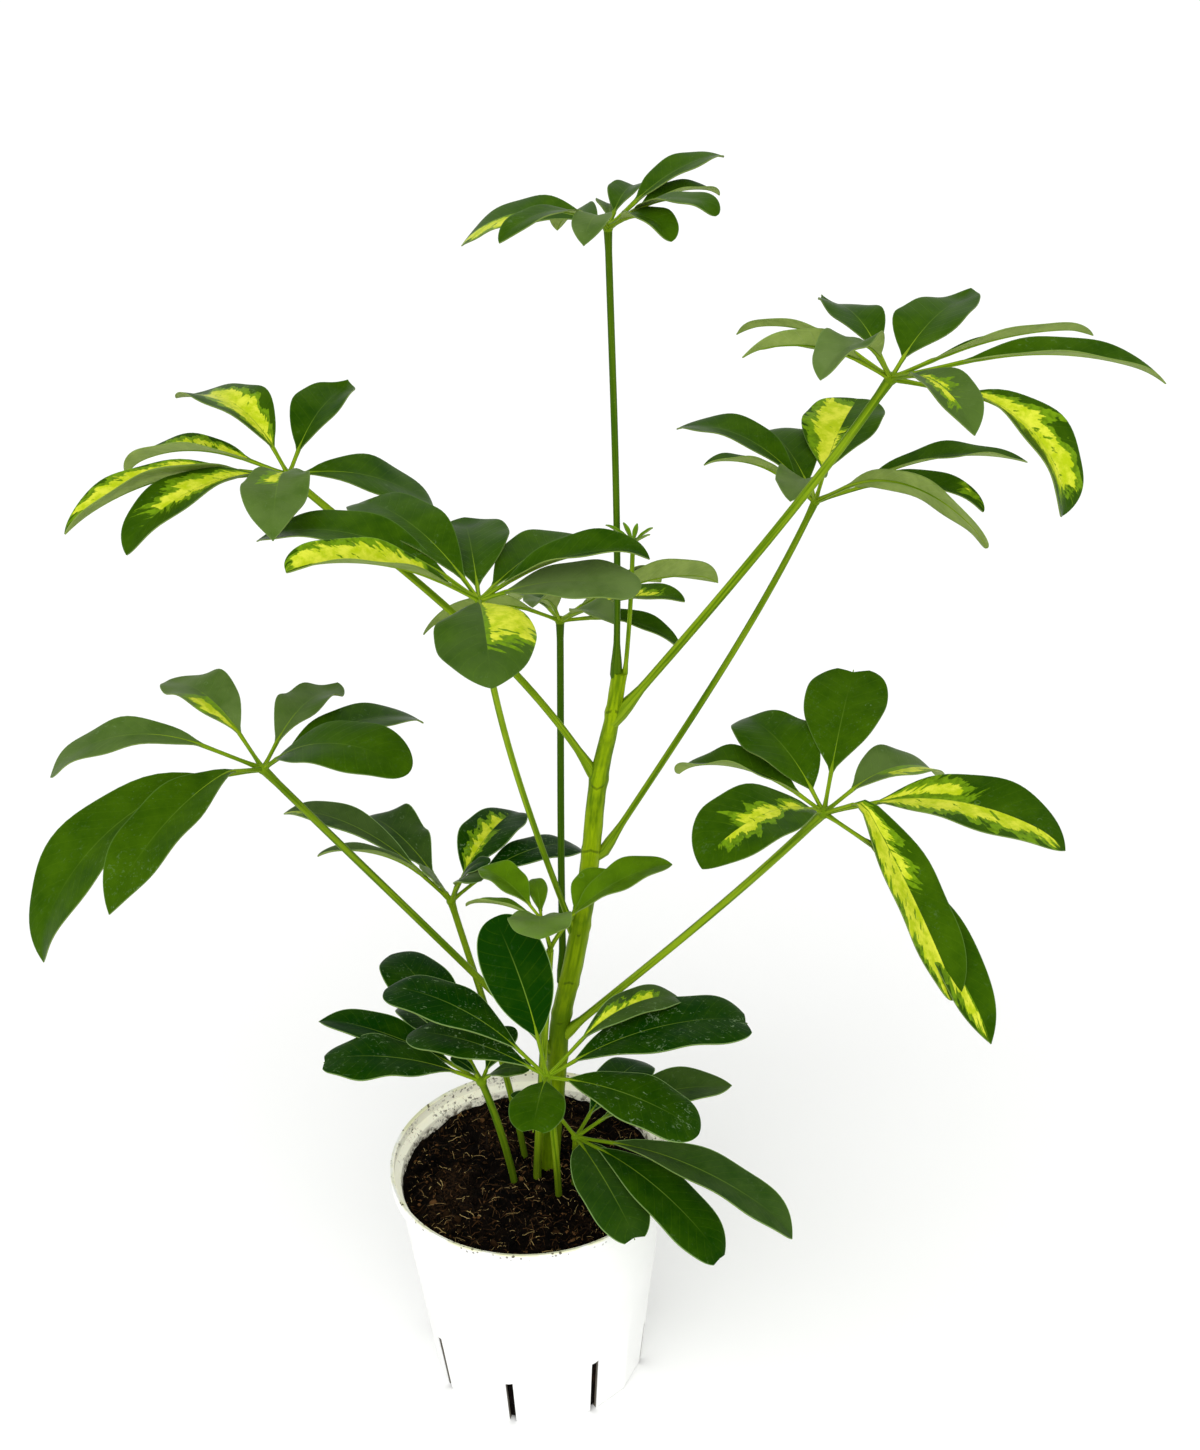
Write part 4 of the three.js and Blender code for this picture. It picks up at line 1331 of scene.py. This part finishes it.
def fibres(rng, count):
    """Runs of coir that lie on the mix and arch a little over it."""
    runs = []
    for _ in range(count):
        x, y = scattered(rng, LITTER_REACH["fibre"])
        turn, bend = rng.random() * 360, rng.uniform(-26, 26) * rng.random() ** 4
        step, arch = lerp(0.35, 1.7, rng.random() ** 2.4), rng.uniform(0, 0.8)
        thick = lerp(0.07, 0.22, rng.random() ** 2)
        points = []
        for bead in range(FIBRE_BEADS):
            lift = 0.3 + arch * sin(pi * bead / (FIBRE_BEADS - 1))
            points.append(Vector((x, y, soil_height(x, y) + lift)) * MM)
            x, y = heading(turn).xy * step + Vector((x, y))
            turn += bend + rng.uniform(-5, 5)
            if Vector((x, y)).length > LITTER_REACH["brim"]:
                turn += 120
                x, y = Vector((x, y)) * 0.97
        runs.append((points, [thick * MM] * FIBRE_BEADS))
    return runs


def soil_piece():
    """The mix that fills the pot, with all that lies on it."""
    bm = bmesh.new()
    bm.verts.layers.float_vector.new("mix_tint")
    inner, bottom = POT["wall"] + SOIL["gap"], POT["floor"] + SOIL["gap"]
    outline = [(0, 0, bottom)]
    for z in (bottom, 8, 14, 20, 26, 32, 38, 50, 62, 75, 90, 104):
        outline.append((POT["foot_radius"], 0, z))
    outline += [(POT["foot_radius"] * (1 - i / 44), 0, SOIL["level"]) for i in range(45)]
    spun(bm, chain(bm, outline), 176)
    for vert in bm.verts:
        reach, z = vert.co.xy.length / MM, vert.co.z / MM
        turn = degrees(atan2(vert.co.y, vert.co.x))
        if reach > 0.01:
            vert.co.xy *= (wall_radius(turn, z) - inner) / POT["foot_radius"]
        if z > SOIL["level"] - 0.1:
            vert.co.z = soil_height(vert.co.x / MM, vert.co.y / MM) * MM
    bmesh.ops.recalc_face_normals(bm, faces=bm.faces)
    rng = random.Random(5)
    crumbs(bm, rng, LITTER["lumps"], (0.9, 2.4), 2)
    crumbs(bm, rng, LITTER["crumbs"], (0.3, 1.1), 1)
    chips(bm, rng, LITTER["chips"])
    count = LITTER["fibres"]
    threads = tubes(fibres(rng, count), 0)
    kept = threads.attributes.new("mix_tint", "FLOAT_VECTOR", "POINT")
    per_run = len(threads.vertices) // count
    tints = [rng.random() for _ in range(count)]
    for i, entry in enumerate(kept.data):
        entry.vector = (tints[min(count - 1, i // per_run)], 0, 0)
    for face in bm.faces:
        face.smooth = True
    grow_on(bm, threads, 1)
    return piece_of("soil", bm, [potting_mix(), coir()])


def plant_pieces():
    finishes = [blade_face(), blade_back(), stalk_skin()]
    for name, spec in LEAVES.items():
        bm = leaf_bmesh()
        height = spec["base"][2]
        start = trunk_middle(height - 4) if height > SOIL["level"] else None
        grow_leaf(bm, name, spec, LEAF_FRESH, start)
        piece_of(name, bm, finishes)
    shoot = leaf_bmesh()
    stem = smooth_run([metres(point) for point in SHOOT_STEM], 12)
    radii = [SHOOT_RADIUS * (1 - 0.2 * i / len(stem)) * MM for i in range(len(stem))]
    grow_on(shoot, tubes([(stem, radii)]), 2)
    for number, spec in enumerate(YOUNG_LEAVES):
        grow_leaf(shoot, f"young_{number}", spec, YOUNG_FRESH)
    piece_of("side_shoot", shoot, finishes)
    bud = leaf_bmesh()
    grow_leaf(bud, "leaf_bud", BUD, BUD_FRESH)
    piece_of("leaf_bud", bud, finishes)


def portrait_camera():
    down, aside, lean = (radians(VIEW[name]) for name in ("down", "aside", "lean"))
    ahead = Vector((sin(aside) * cos(down), cos(aside) * cos(down), -sin(down)))
    level = Vector((cos(aside), -sin(aside), 0))
    upright = level.cross(ahead)
    right = level * cos(lean) + upright * sin(lean)
    up = upright * cos(lean) - level * sin(lean)
    data = bpy.data.cameras.new("camera")
    data.sensor_width = VIEW["film"]
    data.lens = VIEW["lens"]
    camera = bpy.data.objects.new("camera", data)
    facing = Matrix((right, up, -ahead)).transposed().to_4x4()
    camera.matrix_world = Matrix.Translation(metres(VIEW["place"])) @ facing
    bpy.context.scene.collection.objects.link(camera)
    bpy.context.scene.camera = camera


def studio():
    """A white floor under an even white sky, with one big soft light from the front."""
    scene = bpy.context.scene
    scene.view_settings.view_transform = "Standard"
    world = bpy.data.worlds.new("studio")
    world.use_nodes = True
    sky = world.node_tree.nodes["Background"].inputs
    sky["Color"].default_value = (1, 1, 1, 1)
    sky["Strength"].default_value = STUDIO["sky"]
    scene.world = world
    sun = bpy.data.lights.new("big_soft_light", "SUN")
    sun.angle = radians(STUDIO["light_size"])
    sun.energy = STUDIO["light"]
    light = bpy.data.objects.new("big_soft_light", sun)
    light.matrix_world = Vector(STUDIO["light_goes"]).to_track_quat("-Z", "Y").to_matrix().to_4x4()
    scene.collection.objects.link(light)
    bm = bmesh.new()
    bmesh.ops.create_grid(bm, x_segments=12, y_segments=12, size=STUDIO["floor_half"])
    mesh = bpy.data.meshes.new("floor")
    bm.to_mesh(mesh)
    bm.free()
    floor = bpy.data.objects.new("floor", mesh)
    f = Finish("floor_paint", {"Roughness": 0.7, "Specular IOR Level": 0.2})
    grain = f.cloud(f.place(), 3, 3)
    mesh.materials.append(f.wears(Base_Color=f.mix(grain, FLOOR_GREY, FLOOR_WHITE)))
    scene.collection.objects.link(floor)


portrait_camera()
plant_pieces()
trunk_piece()
soil_piece()
pot_piece()
studio()
